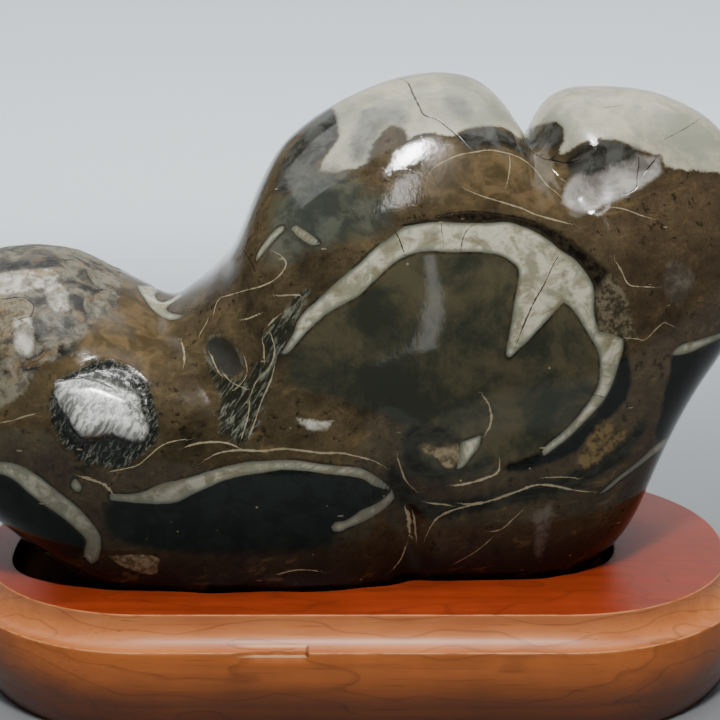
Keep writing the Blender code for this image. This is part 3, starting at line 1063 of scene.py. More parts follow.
# Each marking that is painted, from the lowest up: its edge's softness and raggedness in
# millimetres, its two colours, the noise that mixes them, and its strength
MARKING_LAYERS = (
    ("ochre", 4.5, 7.0, "#4c4029", "#735f40", "patch", 0.85),
    ("chamber", 2.4, 4.0, "#33372d", "#55513d", "cloud", 0.95),
    ("black", 1.0, 2.6, "#0a0f0c", "#141a16", "patch", 1.0),
    ("weathered", 1.2, 5.0, "#24221d", "#817c69", "patch", 1.0),
    ("coarse", 0.8, 3.0, "#3b3427", "#746a55", "mottle", 0.9),
    ("tan", 0.4, 1.0, "#5a4e38", "#918466", "mottle", 1.0),
    ("snow", 0.8, 2.5, "#8f8a7a", "#d9d5c6", "patch", 0.9),
    ("cap", 0.7, 3.2, "#9fa08d", "#c9c2a8", "cloud", 1.0),
    ("haze", 2.5, 5.0, "#565a54", "#80827a", "patch", 0.8),
    ("deep", 2.6, 3.0, "#121713", "#1c231e", "patch", 1.0),
    ("seam", 1.8, 5.0, "#12140f", "#2f3128", "bedding", 0.9),
    ("greenish", 4.0, 8.0, "#3a403b", "#5c5f54", "patch", 0.8),
    ("shade", 1.0, 4.0, "#100e0a", "#30291d", "mottle", 1.0),
    # Painted reflection: the facet's pale grey sheen
    ("sheen", 1.0, 2.0, "#8a857c", "#c4bfb5", "patch", 0.85),
    ("crumb", 1.5, 4.0, "#3f3520", "#7b6842", "mottle", 0.85),
    ("mauve", 1.5, 4.0, "#4a443b", "#756e61", "patch", 0.7),
    # Dark grey smudges, and painted shade in the notch's hollow and under the left cap
    ("smoke", 1.6, 4.0, "#20211f", "#4e504a", "patch", 0.9),
)
# What each part adds to the polished stone's roughness
ROUGHER = (
    ("dull", 0.16), ("weathered", 0.25), ("cap", 0.16), ("ochre", 0.16), ("matt", 0.2),
    ("boss", 0.12),
)
WAX_INDEX = 1.45


class StoneNoises:
    """Places on the stone, and the noises that its colour, gloss and fine relief share."""

    def __init__(self, tree):
        where = add(tree, "ShaderNodeTexCoord").outputs["Object"]
        place = add(tree, "ShaderNodeSeparateXYZ", {"Vector": where}).outputs
        self.where, self.x, self.height = where, place["X"], place["Z"]
        self.cloud = noise_at(tree, where, 24, 6.0, 0.68, 0.3)
        self.patch = noise_at(tree, where, 8, 6.0, 0.65, 0.5)
        self.mottle = noise_at(tree, where, 2.6, 4.0, 0.65)
        self.grain = noise_at(tree, where, 0.7, 2.0)
        bedded = slanted(tree, where, 22, (0.45, 0.7, 1.0))
        self.bedding = noise_at(tree, bedded, 4.5, 5.0, 0.66, 0.8)
        sheared = slanted(tree, where, -32, (1.0, 1.0, 0.16))
        self.fibres = noise_at(tree, sheared, 1.4, 4.0, 0.65, 0.5)


def frayed(tree, noises, name, ragged, low, high):
    """Where a marking is, its edge frayed by the mottle; low and high are depths in millimetres."""
    depth = sums(tree, "MULTIPLY_ADD", noises.mottle, ragged, attribute(tree, name))
    return ramp(tree, depth, low, high)


def matrix_colour(tree, noises, code):
    """The matrix: olive brown mud with ochre clouds, dark organic flecks and faint bedding, and painted
    shade towards the foot.
    """
    brown = add(tree, "ShaderNodeValToRGB", {"Fac": noises.cloud})
    stops = brown.color_ramp.elements
    stops[0].position, stops[0].color = 0.32, linear("#2b271d")
    stops[1].position, stops[1].color = 0.70, linear("#6b5c41")
    for at, shade in ((0.44, code), (0.56, "#564b36")):
        stops.new(at).color = linear(shade)
    colour = brown.outputs["Color"]

    # Redder and then greyer towards the right end, and darker towards the foot with painted shade
    colour = tint(tree, ramp_mm(tree, noises.x, 50, 130), 0.5, colour, "#4d3d2e")
    colour = tint(tree, ramp_mm(tree, noises.x, 110, 145), 0.5, colour, "#3a3431")
    colour = blend(tree, 0.5, colour, noises.bedding, "OVERLAY")
    colour = tint(tree, ramp_mm(tree, noises.height, 72, 50), 0.8, colour, "#20160f")
    colour = tint(tree, ramp_mm(tree, noises.height, 140, 70), 0.38, colour, "#241f15")

    colour = blend(tree, 0.5, colour, noise_at(tree, noises.where, 1.3, 3.0, 0.7), "OVERLAY")
    colour = blend(tree, 0.45, colour, noises.patch, "OVERLAY")
    fleck = ramp(tree, noises.mottle, 0.56, 0.62)
    fleck = product(tree, fleck, ramp(tree, noises.patch, 0.44, 0.55))
    colour = tint(tree, fleck, 0.75, colour, "#1a150f")
    rust = ramp(tree, noises.bedding, 0.56, 0.66)
    rust = product(tree, rust, ramp(tree, noises.cloud, 0.42, 0.55))
    return tint(tree, rust, 0.4, colour, "#7c6440")


def lay_markings(tree, noises, masks, colour):
    """The painted markings, and the grey pits and tan blotches of the weathered rind."""
    for name, soft, ragged, dark, light, mixed_by, strength in MARKING_LAYERS:
        mask = frayed(tree, noises, name, ragged, ragged / 2 - soft, ragged / 2 + soft)
        masks[name] = product(tree, mask, strength)
        tone = blend(tree, ramp(tree, getattr(noises, mixed_by), 0.39, 0.61), dark, light)
        colour = blend(tree, masks[name], colour, tone)
    pitted = product(tree, masks["weathered"], ramp(tree, noises.mottle, 0.53, 0.62))
    colour = tint(tree, pitted, 0.65, colour, "#4b473d")
    blotched = product(tree, masks["weathered"], ramp(tree, noises.bedding, 0.52, 0.66))
    return tint(tree, blotched, 0.6, colour, "#8a6f4b")


def sheared_veins(tree, noises, masks, colour):
    """Sheared veins: a dark green ground with pale fibres along the shear."""
    masks["vein"] = frayed(tree, noises, "fibre", 7.0, 2.4, 4.8)
    thread = product(tree, ramp(tree, noises.fibres, 0.47, 0.66), 0.85)
    veined = blend(tree, thread, "#20251d", "#8b8f7e")
    return tint(tree, masks["vein"], 0.85, colour, veined)


def eye(tree, noises, masks, colour):
    """The eye: a coarse black ring with pale strokes, round a glossy boss whose pale colour is a
    painted highlight.
    """
    masks["ring"] = frayed(tree, noises, "ring", 4.0, 1.2, 3.0)
    masks["boss"] = frayed(tree, noises, "bulge", 2.0, -0.4, 1.6)
    strokes = slanted(tree, noises.where, -32, (1.0, 1.0, 0.3))
    hairy = noise_at(tree, strokes, 1.0, 4.0, 0.65, 0.9)
    coarse = blend(tree, product(tree, ramp(tree, hairy, 0.48, 0.66), 0.8), "#1f221d", "#7b7c72")
    # Painted highlight: the boss's pale colour
    pale = blend(tree, ramp(tree, noises.fibres, 0.4, 0.6), "#7a7a74", "#e0e0da")
    return blend(tree, masks["ring"], colour, blend(tree, masks["boss"], coarse, pale))


def oval_pit(tree, noises, colour):
    """The small oval pit beside the eye, dark with a broken pale rim."""
    inside = frayed(tree, noises, "pit", 2.0, 0.6, 1.8)
    colour = blend(tree, inside, colour, blend(tree, noises.patch, "#2a2a24", "#4b4a42"))
    rim = ramp(tree, off(tree, attribute(tree, "pit"), 0), 1.1, 0.2)
    rim = product(tree, rim, ramp(tree, noises.mottle, 0.45, 0.58))
    return tint(tree, rim, 0.3, colour, "#8b8979")


def calcite(tree, noises, colour):
    """Calcite: clear-edged cream spar, greyer at its rim, stained brown in streaks, and darker low down
    with painted shade.
    """
    depth = attribute(tree, "calcite")
    spar = blend(tree, ramp(tree, noises.patch, 0.41, 0.59), "#939279", "#cfcab2")
    spar = blend(tree, ramp(tree, depth, 1.7, 0.1), spar, "#6f7366")
    spar = tint(tree, ramp(tree, noises.bedding, 0.50, 0.66), 0.6, spar, "#7b6a49")
    # Painted shade: the spar darker and greyer low down
    spar = tint(tree, ramp_mm(tree, noises.height, 105, 80), 0.55, spar, "#5d6156")
    rind = product(tree, ramp(tree, depth, -1.3, -0.2), ramp(tree, noises.patch, 0.40, 0.58))
    colour = tint(tree, rind, 0.75, colour, "#1f1c14")
    return blend(tree, frayed(tree, noises, "calcite", 0.6, 0.1, 0.55), colour, spar)


def line_mask(tree, name, count, uneven):
    """Where any of the thin lines of a kind runs: within its half width, made uneven by a noise."""
    whole = None
    for i in range(count):
        wide = off(tree, attribute(tree, f"{name}_side_{i}"), 0)
        near = ramp(tree, attribute(tree, f"{name}_near_{i}"), 2.6, 2.0)
        line = product(tree, ramp(tree, sums(tree, "DIVIDE", wide, uneven), 1.3, 0.5), near)
        whole = line if whole is None else sums(tree, "MAXIMUM", whole, line)
    return whole


def thin_lines(tree, noises, masks, counts, colour):
    """Thin lines of calcite, and dark cracks."""
    uneven = span(tree, noises.mottle, 0.34, 0.66, 0.25, 1.3)
    pale = line_mask(tree, "pale", counts["pale"], uneven)
    colour = blend(tree, pale, colour, blend(tree, noises.patch, "#6f6146", "#c6ba99"))
    masks["crack"] = line_mask(tree, "crack", counts["crack"], uneven)
    return tint(tree, masks["crack"], 0.9, colour, "#1d1812")


def specks_and_scratches(tree, noises, colour):
    """Pale specks about 11 mm apart, and short slanting scratches in patches."""
    speck = add(tree, "ShaderNodeTexVoronoi", {"Vector": noises.where, "Scale": 1 / (11 * MM)})
    spot = ramp(tree, speck.outputs["Distance"], 0.045, 0.03)
    colour = tint(tree, spot, 0.7, colour, "#a39a7c")
    skewed = add(tree, "ShaderNodeMapping", {
        "Vector": noises.where, "Rotation": (0.0, math.radians(38), 0.0),
        "Scale": (55.0, 55.0, 190.0),
    }).outputs["Vector"]
    scratch = add(tree, "ShaderNodeTexVoronoi", {"Vector": skewed, "Scale": 1.0})
    scratched = ramp(tree, scratch.outputs["Distance"], 0.075, 0.05)
    scratched = product(tree, scratched, ramp(tree, noises.patch, 0.47, 0.53))
    return tint(tree, scratched, 0.6, colour, "#a1967a")


def dullness(tree, masks):
    """Where the stone is weathered, coarse, sheared or in the eye's ring, so it took no polish."""
    dull = sums(tree, "SUBTRACT", masks["ring"], masks["boss"])
    for name in ("weathered", "coarse", "vein"):
        dull = sums(tree, "MAXIMUM", dull, masks[name])
    return dull


def stone_roughness(tree, noises, masks, polish):
    """The polish, and what makes it shine less."""
    roughness = span(tree, noises.mottle, 0.0, 1.0, polish, polish + 0.05)
    for name, share in ROUGHER:
        roughness = sums(tree, "MULTIPLY_ADD", masks[name], share, roughness)
    return roughness


def wax_shine(tree, noises, masks):
    """How strongly the wax shines: hardly where it is worn off, less low down, most on the boss."""
    shine = span(tree, attribute(tree, "bare"), -6.0, 5.0, 0.5, 0.02)
    for name in ("boss", "sheen"):
        shine = sums(tree, "MAXIMUM", shine, masks[name])
    return product(tree, shine, span(tree, noises.height, 60 * MM, 105 * MM, 0.25, 1.0))


def stone_bump(tree, noises, masks):
    """Faint polishing ripple, coarser grain where it is dull, and cracks that are open."""
    even = sums(tree, "MULTIPLY_ADD", masks["chamber"], -0.8, 1.0)
    ripple = sums(tree, "MULTIPLY_ADD", noises.grain, 0.08, noises.mottle)
    height = product(tree, ripple, even)
    for part, tall in (
        (product(tree, noises.grain, masks["dull"]), 2.0),
        (product(tree, noises.fibres, masks["vein"]), 3.0),
        (masks["crack"], -5.0),
    ):
        height = sums(tree, "MULTIPLY_ADD", part, tall, height)
    return bumped(tree, height, 0.16, 0.3)


def stone_material(settings, line_counts):
    """Polished nautiloid limestone: dark bituminous matrix, chambers filled with pale calcite.

    It was sawn, ground and waxed by hand, so it has a deep even gloss over a surface that isn't
    quite true. Calcite's index is 1.66, but what shines is the wax on it, whose index is 1.45.
    """
    made, tree = new_material("polished nautiloid limestone")
    noises, masks = StoneNoises(tree), {}
    colour = matrix_colour(tree, noises, settings.matrix_code)
    colour = lay_markings(tree, noises, masks, colour)
    colour = sheared_veins(tree, noises, masks, colour)
    colour = eye(tree, noises, masks, colour)
    colour = oval_pit(tree, noises, colour)
    colour = calcite(tree, noises, colour)
    colour = thin_lines(tree, noises, masks, line_counts, colour)
    colour = specks_and_scratches(tree, noises, colour)
    masks["dull"] = dullness(tree, masks)
    masks["matt"] = ramp(tree, attribute(tree, "matt"), -3.0, 3.0)
    finish_material(tree, {
        "Base Color": colour,
        "Roughness": stone_roughness(tree, noises, masks, settings.polish),
        "IOR": WAX_INDEX,
        "Specular IOR Level": wax_shine(tree, noises, masks),
        "Normal": stone_bump(tree, noises, masks),
    })
    return made


# The stand

# The flat lip above the cove, and how far the side swells and then draws in
LIP_MM = 1.2
SIDE_SWELL_MM = 1.4
SIDE_TAPER_MM = 7.0
# Eased edges as (out, up): at the flat top, at the arris under the cove, and round the foot
TOP_EASE_MM = ((-0.9, 0.0), (-0.45, 0.0), (-0.2, -0.08), (-0.06, -0.25), (0.0, -0.5))
ARRIS_EASE_MM = ((-0.35, 0.0), (-0.1, -0.07), (0.05, -0.25))
FOOT_EASE_MM = ((0.3, 0.5), (0.0, 0.15), (-0.4, 0.0))
# How finely the edge is made: steps down the cove, down the side and round an end, and along it
COVE_STEPS = 14
SIDE_STEPS = 30
END_STEPS = 48
EDGE_SPACING_MM = 1.5
# How high and how far out the pocket's rim is eased
RIM_EASE_MM = 0.6
RIM_OUT_MM = 0.5
# The board's glue line, this far in front of the middle
GLUE_LINE_MM = 23.6
# Where the splinter broke off the arris under the cove: start, full depth and end, and its edges
CHIP_MM = (-42.0, -33.0, -16.2)
CHIP_TOP_MM = 35.5
CHIP_FOOT_MM = 33.1
# How deep it is, how uneven, and how far above and below the arris it reaches and fades
CHIP_DEEP_MM = 1.1
CHIP_UNEVEN_MM = 0.2
CHIP_ABOVE_MM = 2.2
CHIP_BELOW_MM = 2.4
CHIP_FADE_MM = 2.6


def stand_profile(settings):
    """The stand's edge from its top down, as (distance out from the flat top's edge, height)."""
    out, drop = settings.cove_out / MM, settings.cove_drop / MM
    side_height = STAND_TOP_MM - drop
    run = list(TOP_EASE_MM)
    for i in range(COVE_STEPS + 1):
        angle = math.pi / 2 * i / COVE_STEPS
        run.append((out * (1 - math.cos(angle)), -LIP_MM - (drop - LIP_MM) * math.sin(angle)))
    run.pop()
    run += [(out + more, -drop + up) for more, up in ARRIS_EASE_MM]
    for i in range(1, SIDE_STEPS):
        down = i / SIDE_STEPS
        run.append((out + side_bulge(down), -drop - side_height * down))
    foot = out + side_bulge(1)
    run += [(foot + more, -STAND_TOP_MM + up) for more, up in FOOT_EASE_MM]
    return run


def side_bulge(down):
    """How far the side stands out, from 0 under the cove to 1 at the foot."""
    swell = SIDE_SWELL_MM * math.sin(math.pi * min(1, down * 1.6))
    return swell - SIDE_TAPER_MM * down**3.2


def moulding_tree(material):
    """Geometry nodes that sweep a profile round a rounded board."""
    tree = bpy.data.node_groups.new("stand moulding", "GeometryNodeTree")
    for name, kind in (
        ("Top Length", "Float"), ("Top Depth", "Float"), ("End Radius", "Float"),
        ("Spacing", "Float"), ("Top Height", "Float"), ("Profile", "Object"),
    ):
        tree.interface.new_socket(name, in_out="INPUT", socket_type=f"NodeSocket{kind}")
    tree.interface.new_socket("Geometry", in_out="OUTPUT", socket_type="NodeSocketGeometry")
    given = add(tree, "NodeGroupInput").outputs
    board = add(tree, "GeometryNodeCurvePrimitiveQuadrilateral", {
        "Width": given["Top Length"], "Height": given["Top Depth"],
    })
    rounded = add(tree, "GeometryNodeFilletCurve", {
        "Curve": board.outputs["Curve"], "Radius": given["End Radius"], "Count": END_STEPS,
    }, mode="POLY")
    spaced = add(tree, "GeometryNodeResampleCurve", {
        "Curve": rounded.outputs["Curve"], "Length": given["Spacing"],
    }, mode="LENGTH")
    height = add(tree, "ShaderNodeCombineXYZ", {"Z": given["Top Height"]})
    path = add(tree, "GeometryNodeTransform", {
        "Geometry": spaced.outputs["Curve"], "Translation": height.outputs["Vector"],
    })
    shape = add(tree, "GeometryNodeObjectInfo", {"Object": given["Profile"]})
    swept = add(tree, "GeometryNodeCurveToMesh", {
        "Curve": path.outputs["Geometry"], "Profile Curve": shape.outputs["Geometry"],
    })
    whole = add(tree, "GeometryNodeRealizeInstances", {"Geometry": swept.outputs["Mesh"]})
    finished = add(tree, "GeometryNodeSetMaterial", {
        "Geometry": whole.outputs["Geometry"], "Material": material,
    })
    add(tree, "NodeGroupOutput", {"Geometry": finished.outputs["Geometry"]})
    return tree


def swept_board(settings, material):
    """The moulded board as a plain mesh, made by the geometry nodes. Its top and foot are open."""
    curve = bpy.data.curves.new("stand_profile", "CURVE")
    curve.dimensions = "3D"
    line = curve.splines.new("POLY")
    run = stand_profile(settings)
    line.points.add(len(run) - 1)
    for point, (out, height) in zip(line.points, run):
        point.co = (out * MM, -height * MM, 0, 1)
    profile = put("stand_profile", curve)
    holder = put("stand_holder", bpy.data.meshes.new("stand_holder"))
    tree = moulding_tree(material)
    modifier = holder.modifiers.new("moulding", "NODES")
    modifier.node_group = tree
    names = {item.name: item.identifier for item in tree.interface.items_tree if item.in_out == "INPUT"}
    for name, value in (
        ("Top Length", settings.top_length), ("Top Depth", settings.top_depth),
        ("End Radius", settings.end_radius), ("Spacing", EDGE_SPACING_MM * MM),
        ("Top Height", STAND_TOP_MM * MM), ("Profile", profile),
    ):
        modifier[names[name]] = value
    mesh = plain_mesh(holder)
    bpy.data.objects.remove(holder)
    bpy.data.objects.remove(profile)
    return mesh


def pocket_plan():
    """The pocket's plan and floor in millimetres, from the CAD stand's pocket, made smooth."""
    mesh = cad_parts["wooden_stand"].data
    points = np.array([v.co for v in mesh.vertices]) / MM
    levels = np.round(points[:, 2], 2)
    inner = levels[(levels > 1) & (levels < STAND_TOP_MM - 1)]
    stone_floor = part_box("fossil_nautilus")[0].z / MM
    floor = inner[np.argmin(np.abs(inner - stone_floor))]
    plan = np.unique(np.round(points[levels == floor][:, :2], 2), axis=0)
    away = plan - plan.mean(axis=0)
    plan = plan[np.argsort(np.arctan2(away[:, 1], away[:, 0]))]
    steps = np.linalg.norm(np.roll(plan, -1, axis=0) - plan, axis=1)
    knots = np.r_[0, np.cumsum(steps)]
    at = np.arange(0, knots[-1], EDGE_SPACING_MM)
    return spline(knots[:-1], plan, at, closed=True, length=knots[-1]), floor


def pocket_cutter():
    """What is carved out of the board: straight walls with a slightly eased rim."""
    plan, floor = pocket_plan()
    along = np.roll(plan, -1, axis=0) - np.roll(plan, 1, axis=0)
    outward = np.stack([along[:, 1], -along[:, 0]], axis=1)
    outward /= np.linalg.norm(outward, axis=1)[:, None]
    levels = (
        (0, floor), (0, STAND_TOP_MM - RIM_EASE_MM), (RIM_OUT_MM, STAND_TOP_MM),
        (RIM_OUT_MM + 0.4, STAND_TOP_MM + 4),
    )
    count = len(plan)
    points = [(x * MM, y * MM, z * MM) for grow, z in levels for x, y in plan + outward * grow]
    faces = quads(len(levels), count)
    faces += [tuple(range(count)), tuple(len(points) - count + i for i in range(count))]
    mesh = bpy.data.meshes.new("pocket_cutter")
    mesh.from_pydata(points, [], faces)
    face_outwards(mesh)
    return put("pocket_cutter", mesh)


def chip_arris(shape, settings):
    """Breaks a splinter off the edge under the cove, in front and left of the middle."""
    start, full, end = (at * MM for at in CHIP_MM)
    arris = -(settings.top_depth / 2 + settings.cove_out)
    for v in shape.verts:
        if not start < v.co.x < end or v.co.y > 0:
            continue
        share = min(1, (v.co.x - start) / (full - start))
        deep = (CHIP_DEEP_MM + CHIP_UNEVEN_MM * math.sin(v.co.x * 900)) * MM * share
        down = (STAND_HIGH.z - settings.cove_drop) - v.co.z
        if -CHIP_ABOVE_MM * MM < down < CHIP_BELOW_MM * MM:
            v.co.y = max(v.co.y, arris + deep * (1 - abs(down) / (CHIP_FADE_MM * MM)))


def close_board(mesh, settings):
    """Chips the swept board's edge and closes its top and underside."""
    shape = bmesh.new()
    shape.from_mesh(mesh)
    bmesh.ops.remove_doubles(shape, verts=shape.verts, dist=0.00001)
    chip_arris(shape, settings)
    open_edges = [e for e in shape.edges if e.is_boundary]
    bmesh.ops.edgeloop_fill(shape, edges=open_edges)
    bmesh.ops.recalc_face_normals(shape, faces=shape.faces)
    shape.to_mesh(mesh)
    shape.free()


def cut_pocket(stand):
    """Carves the stone's pocket out of the stand's mesh."""
    cutter = pocket_cutter()
    carve_out = stand.modifiers.new("pocket", "BOOLEAN")
    carve_out.operation = "DIFFERENCE"
    carve_out.object = cutter
    carved = plain_mesh(stand)
    stand.modifiers.remove(carve_out)
    bpy.data.objects.remove(cutter)
    stand.data = carved
    carved.name = stand.name
    return carved


def store_edges(mesh, settings):
    """Stores how near each point is to a worn edge, and how far inside the flat top's edge it is."""
    points = np.array([v.co for v in mesh.vertices]) / MM
    half_straight = (settings.top_length / 2 - settings.end_radius) / MM
    half_flat = (settings.top_depth / 2 - settings.end_radius) / MM
    x = np.maximum(np.abs(points[:, 0]) - half_straight, 0)
    y = np.maximum(np.abs(points[:, 1]) - half_flat, 0)
    out = np.hypot(x, y) - settings.end_radius / MM
    down = STAND_TOP_MM - points[:, 2]
    edges = ((0, 0), (settings.cove_out / MM, settings.cove_drop / MM))
    store(mesh, "arris", np.min([np.hypot(out - a, down - b) for a, b in edges], axis=0))
    store(mesh, "inward", -out)


def make_stand(settings):
    """The board with its moulded edge, its chip and its pocket."""
    material = wood_material(settings)
    mesh = swept_board(settings, material)
    close_board(mesh, settings)
    stand = put("moulded_stand", mesh)
    carved = cut_pocket(stand)
    carved.materials.clear()
    carved.materials.append(material)
    store_edges(carved, settings)
    carved.shade_smooth()
    carved.set_sharp_from_angle(angle=math.radians(32))
    return stand


# The wood

RING_MM = 4.5
# Where the growth rings' heart runs: behind and above the board's middle, and nearly along it
HEART_MM = (0.0, 55.0, -12.0)
HEART_TURN = (0.0, math.radians(3.5), math.radians(4.0))
LACQUER_INDEX = 1.5


def grained(tree, where, along_mm, across_mm, detail=3.0, roughness=0.6):
    """A noise drawn out along the grain."""
    scale = (1 / (along_mm * MM), 1 / (across_mm * MM), 1 / (across_mm * MM))
    pulled = add(tree, "ShaderNodeMapping", {"Vector": where, "Scale": scale})
    return add(tree, "ShaderNodeTexNoise", {
        "Vector": pulled.outputs["Vector"], "Scale": 1.0, "Detail": detail, "Roughness": roughness,
    }).outputs["Fac"]


class WoodNoises:
    """Places on the stand, which way they face, and the noises that colour and gloss share."""

    def __init__(self, tree):
        where = add(tree, "ShaderNodeTexCoord").outputs["Object"]
        place = add(tree, "ShaderNodeSeparateXYZ", {"Vector": where}).outputs
        normal = add(tree, "ShaderNodeNewGeometry").outputs["Normal"]
        self.where, self.x, self.y, self.height = where, place["X"], place["Y"], place["Z"]
        self.up = add(tree, "ShaderNodeSeparateXYZ", {"Vector": normal}).outputs["Z"]
        self.fibre = grained(tree, where, 22, 0.5)
        self.streak = grained(tree, where, 60, 4, 4.0, 0.55)
        self.blotch = noise_at(tree, where, 26, 3.0)


def late_wood(tree, noises):
    """The dark rings: even steps of distance from the heart, bent by slow noise."""
    heart = add(tree, "ShaderNodeMapping", {
        "Vector": noises.where, "Location": [at * MM for at in HEART_MM], "Rotation": HEART_TURN,
        "Scale": (0.12, 1.0, 1.0),
    }).outputs["Vector"]
    away = add(tree, "ShaderNodeVectorMath", {0: heart}, operation="LENGTH").outputs["Value"]
    bend = grained(tree, noises.where, 70, 26, 2.0)
    ringed = sums(tree, "MULTIPLY_ADD", bend, 0.022, away)
    saw = sums(tree, "FRACT", sums(tree, "DIVIDE", ringed, RING_MM * MM))
    return product(tree, ramp(tree, saw, 0.82, 0.97), ramp(tree, saw, 1.0, 0.97))


def stained(tree, noises, code):
    """Red on the flat top, orange in the cove, and brown down the side, darkened towards the foot by
    painted shade, over the wood's grain.
    """
    height = noises.height
    # Painted shade: the side darker towards the foot
    side = blend(tree, ramp_mm(tree, height, 32, 4), "#b2622a", "#773c1a")
    side = blend(tree, ramp_mm(tree, height, 33.5, 35.5), side, "#d07e47")
    level = product(tree, ramp(tree, noises.up, 0.93, 0.995), ramp_mm(tree, height, 43.5, 44.5))
    toned = blend(tree, level, side, code)
    toned = tint(tree, late_wood(tree, noises), 0.3, toned, "#4a220e")
    toned = blend(tree, 0.35, toned, noises.streak, "OVERLAY")
    toned = blend(tree, 0.35, toned, noises.blotch, "OVERLAY")
    toned = tint(tree, ramp(tree, noises.fibre, 0.40, 0.30), 0.4, toned, "#3d1c0e")

    # The round ends are darker, where the stain has sunk into the end grain
    ends = ramp_mm(tree, off(tree, noises.x, 0), 90, 150)
    ends = product(tree, ends, ramp_mm(tree, height, 35, 33))
    return tint(tree, ends, 0.45, toned, "#3a1a0c")


def glue_line(tree, noises, toned):
    """The thin dark line between the two strips that the board is glued up from."""
    joint = ramp_mm(tree, off(tree, noises.y, -GLUE_LINE_MM * MM), 0.4, 0.1)
    joint = product(tree, joint, ramp(tree, noises.up, 0.9, 1.0))
    return tint(tree, joint, 0.5, toned, "#51200e")


def rubbed_and_highlit_edges(tree, noises, toned):
    """Edges where the stain has worn off and the pale wood shows, made paler too as a painted highlight
    along the sharp edges.
    """
    broken = product(tree, ramp(tree, grained(tree, noises.where, 9, 3), 0.38, 0.56), 0.75)
    # Partly real wear, partly a painted highlight on the edges
    rubbed_and_highlit = product(tree, ramp(tree, attribute(tree, "arris"), 0.5, 0.12), broken)
    return blend(tree, rubbed_and_highlit, toned, "#e2a270")


def chip_strokes(tree, noises, toned):
    """Pale wood along the chip's two edges, and the dark step where it ends."""
    start, full, end = CHIP_MM
    in_front_of = ramp_mm(tree, noises.y, -60, -70)
    along = ramp_mm(tree, noises.x, start, full)
    along = product(tree, along, ramp_mm(tree, noises.x, end + 0.2, end - 0.2))
    along = product(tree, along, in_front_of)
    for level, wide in ((CHIP_TOP_MM, 0.4), (CHIP_FOOT_MM, 0.6)):
        edge = ramp_mm(tree, off(tree, noises.height, level * MM), wide, wide * 0.3)
        toned = tint(tree, product(tree, edge, along), 0.8, toned, "#ecb685")
    middle = (CHIP_TOP_MM + CHIP_FOOT_MM) / 2
    step = ramp_mm(tree, off(tree, noises.x, end * MM), 0.8, 0.3)
    step = product(tree, step, in_front_of)
    step = product(tree, step, ramp_mm(tree, off(tree, noises.height, middle * MM), 1.5, 1.1))
    return tint(tree, step, 0.7, toned, "#4a200c")


def wood_material(settings):
    """Stained, varnished hardwood: planed, moulded with a router, stained red and lacquered.

    The grain runs along X, and growth rings are 4.5 mm apart. Lacquer has an index near 1.5, and
    its brushed coat leaves a soft gloss. In the pocket and underneath the wood is bare of lacquer,
    and painted shade makes it dark there.
    """
    made, tree = new_material("stained and varnished hardwood")
    noises = WoodNoises(tree)
    toned = stained(tree, noises, settings.stain_code)
    toned = glue_line(tree, noises, toned)
    toned = rubbed_and_highlit_edges(tree, noises, toned)
    toned = chip_strokes(tree, noises, toned)
    # Painted shade in the pocket and underneath, where the wood is also bare of lacquer and rough
    raw_and_shaded = ramp(tree, attribute(tree, "inward"), 0.8, 1.6)
    raw_and_shaded = product(tree, raw_and_shaded, ramp_mm(tree, noises.height, 44.6, 43.6))
    toned = tint(tree, raw_and_shaded, 0.9, toned, "#24110a")
    brushed = span(tree, noises.streak, 0.0, 1.0, 0.28, 0.5)
    finish_material(tree, {
        "Base Color": toned,
        "Roughness": sums(tree, "MULTIPLY_ADD", raw_and_shaded, 0.5, brushed),
        "IOR": LACQUER_INDEX,
        "Specular IOR Level": sums(tree, "MULTIPLY_ADD", raw_and_shaded, -0.42, 0.5),
        "Coat Weight": sums(tree, "MULTIPLY_ADD", raw_and_shaded, -0.15, 0.15),
        "Coat Roughness": 0.3,
        "Normal": bumped(tree, noises.fibre, 0.15, 0.2),
    })
    return made


# The stage, in metres

# The paper sweep: half its width, its front edge, where it turns up and how tightly, and its top
SWEEP_HALF_WIDTH = 2.4
SWEEP_FRONT = -0.45
SWEEP_BACK = 0.9
SWEEP_RADIUS = 0.5
SWEEP_TOP = 2.2
SWEEP_STEPS = 16
# The hump's front, which the two windows face
HUMP = Vector((0.02, -0.035, 0.195))
WINDOW_DISTANCE = 1.3
ROOM_COLOUR = "#c8ccce"
ROOM_STRENGTH = 0.1


def make_floor(settings):
    """A pale sweep: a table top that ends in front, and turns up into a wall far behind."""
    run = [(SWEEP_FRONT, 0.0), (SWEEP_BACK, 0.0)]
    for i in range(1, SWEEP_STEPS + 1):
        angle = math.pi / 2 * i / SWEEP_STEPS
        out, up = SWEEP_RADIUS * math.sin(angle), SWEEP_RADIUS * (1 - math.cos(angle))
        run.append((SWEEP_BACK + out, up))
    run.append((SWEEP_BACK + SWEEP_RADIUS, SWEEP_TOP))
    points = [(x, y, z) for x in (-SWEEP_HALF_WIDTH, SWEEP_HALF_WIDTH) for y, z in run]
    count = len(run)
    faces = [(i, count + i, count + i + 1, i + 1) for i in range(count - 1)]
    mesh = bpy.data.meshes.new("pale_sweep")
    mesh.from_pydata(points, [], faces)
    mesh.shade_smooth()
    paper, tree = new_material("matt background paper")
    finish_material(tree, {"Base Color": (*settings.paper_colour, 1), "Roughness": 0.9})
    mesh.materials.append(paper)
    floor = put("pale_sweep", mesh)


def toward(azimuth, elevation):
    """A window's place, seen from the hump at an azimuth from the front and an elevation."""
    a, e = math.radians(azimuth), math.radians(elevation)
    way = Vector((math.sin(a) * math.cos(e), -math.cos(a) * math.cos(e), math.sin(e)))
    return HUMP + way * WINDOW_DISTANCE


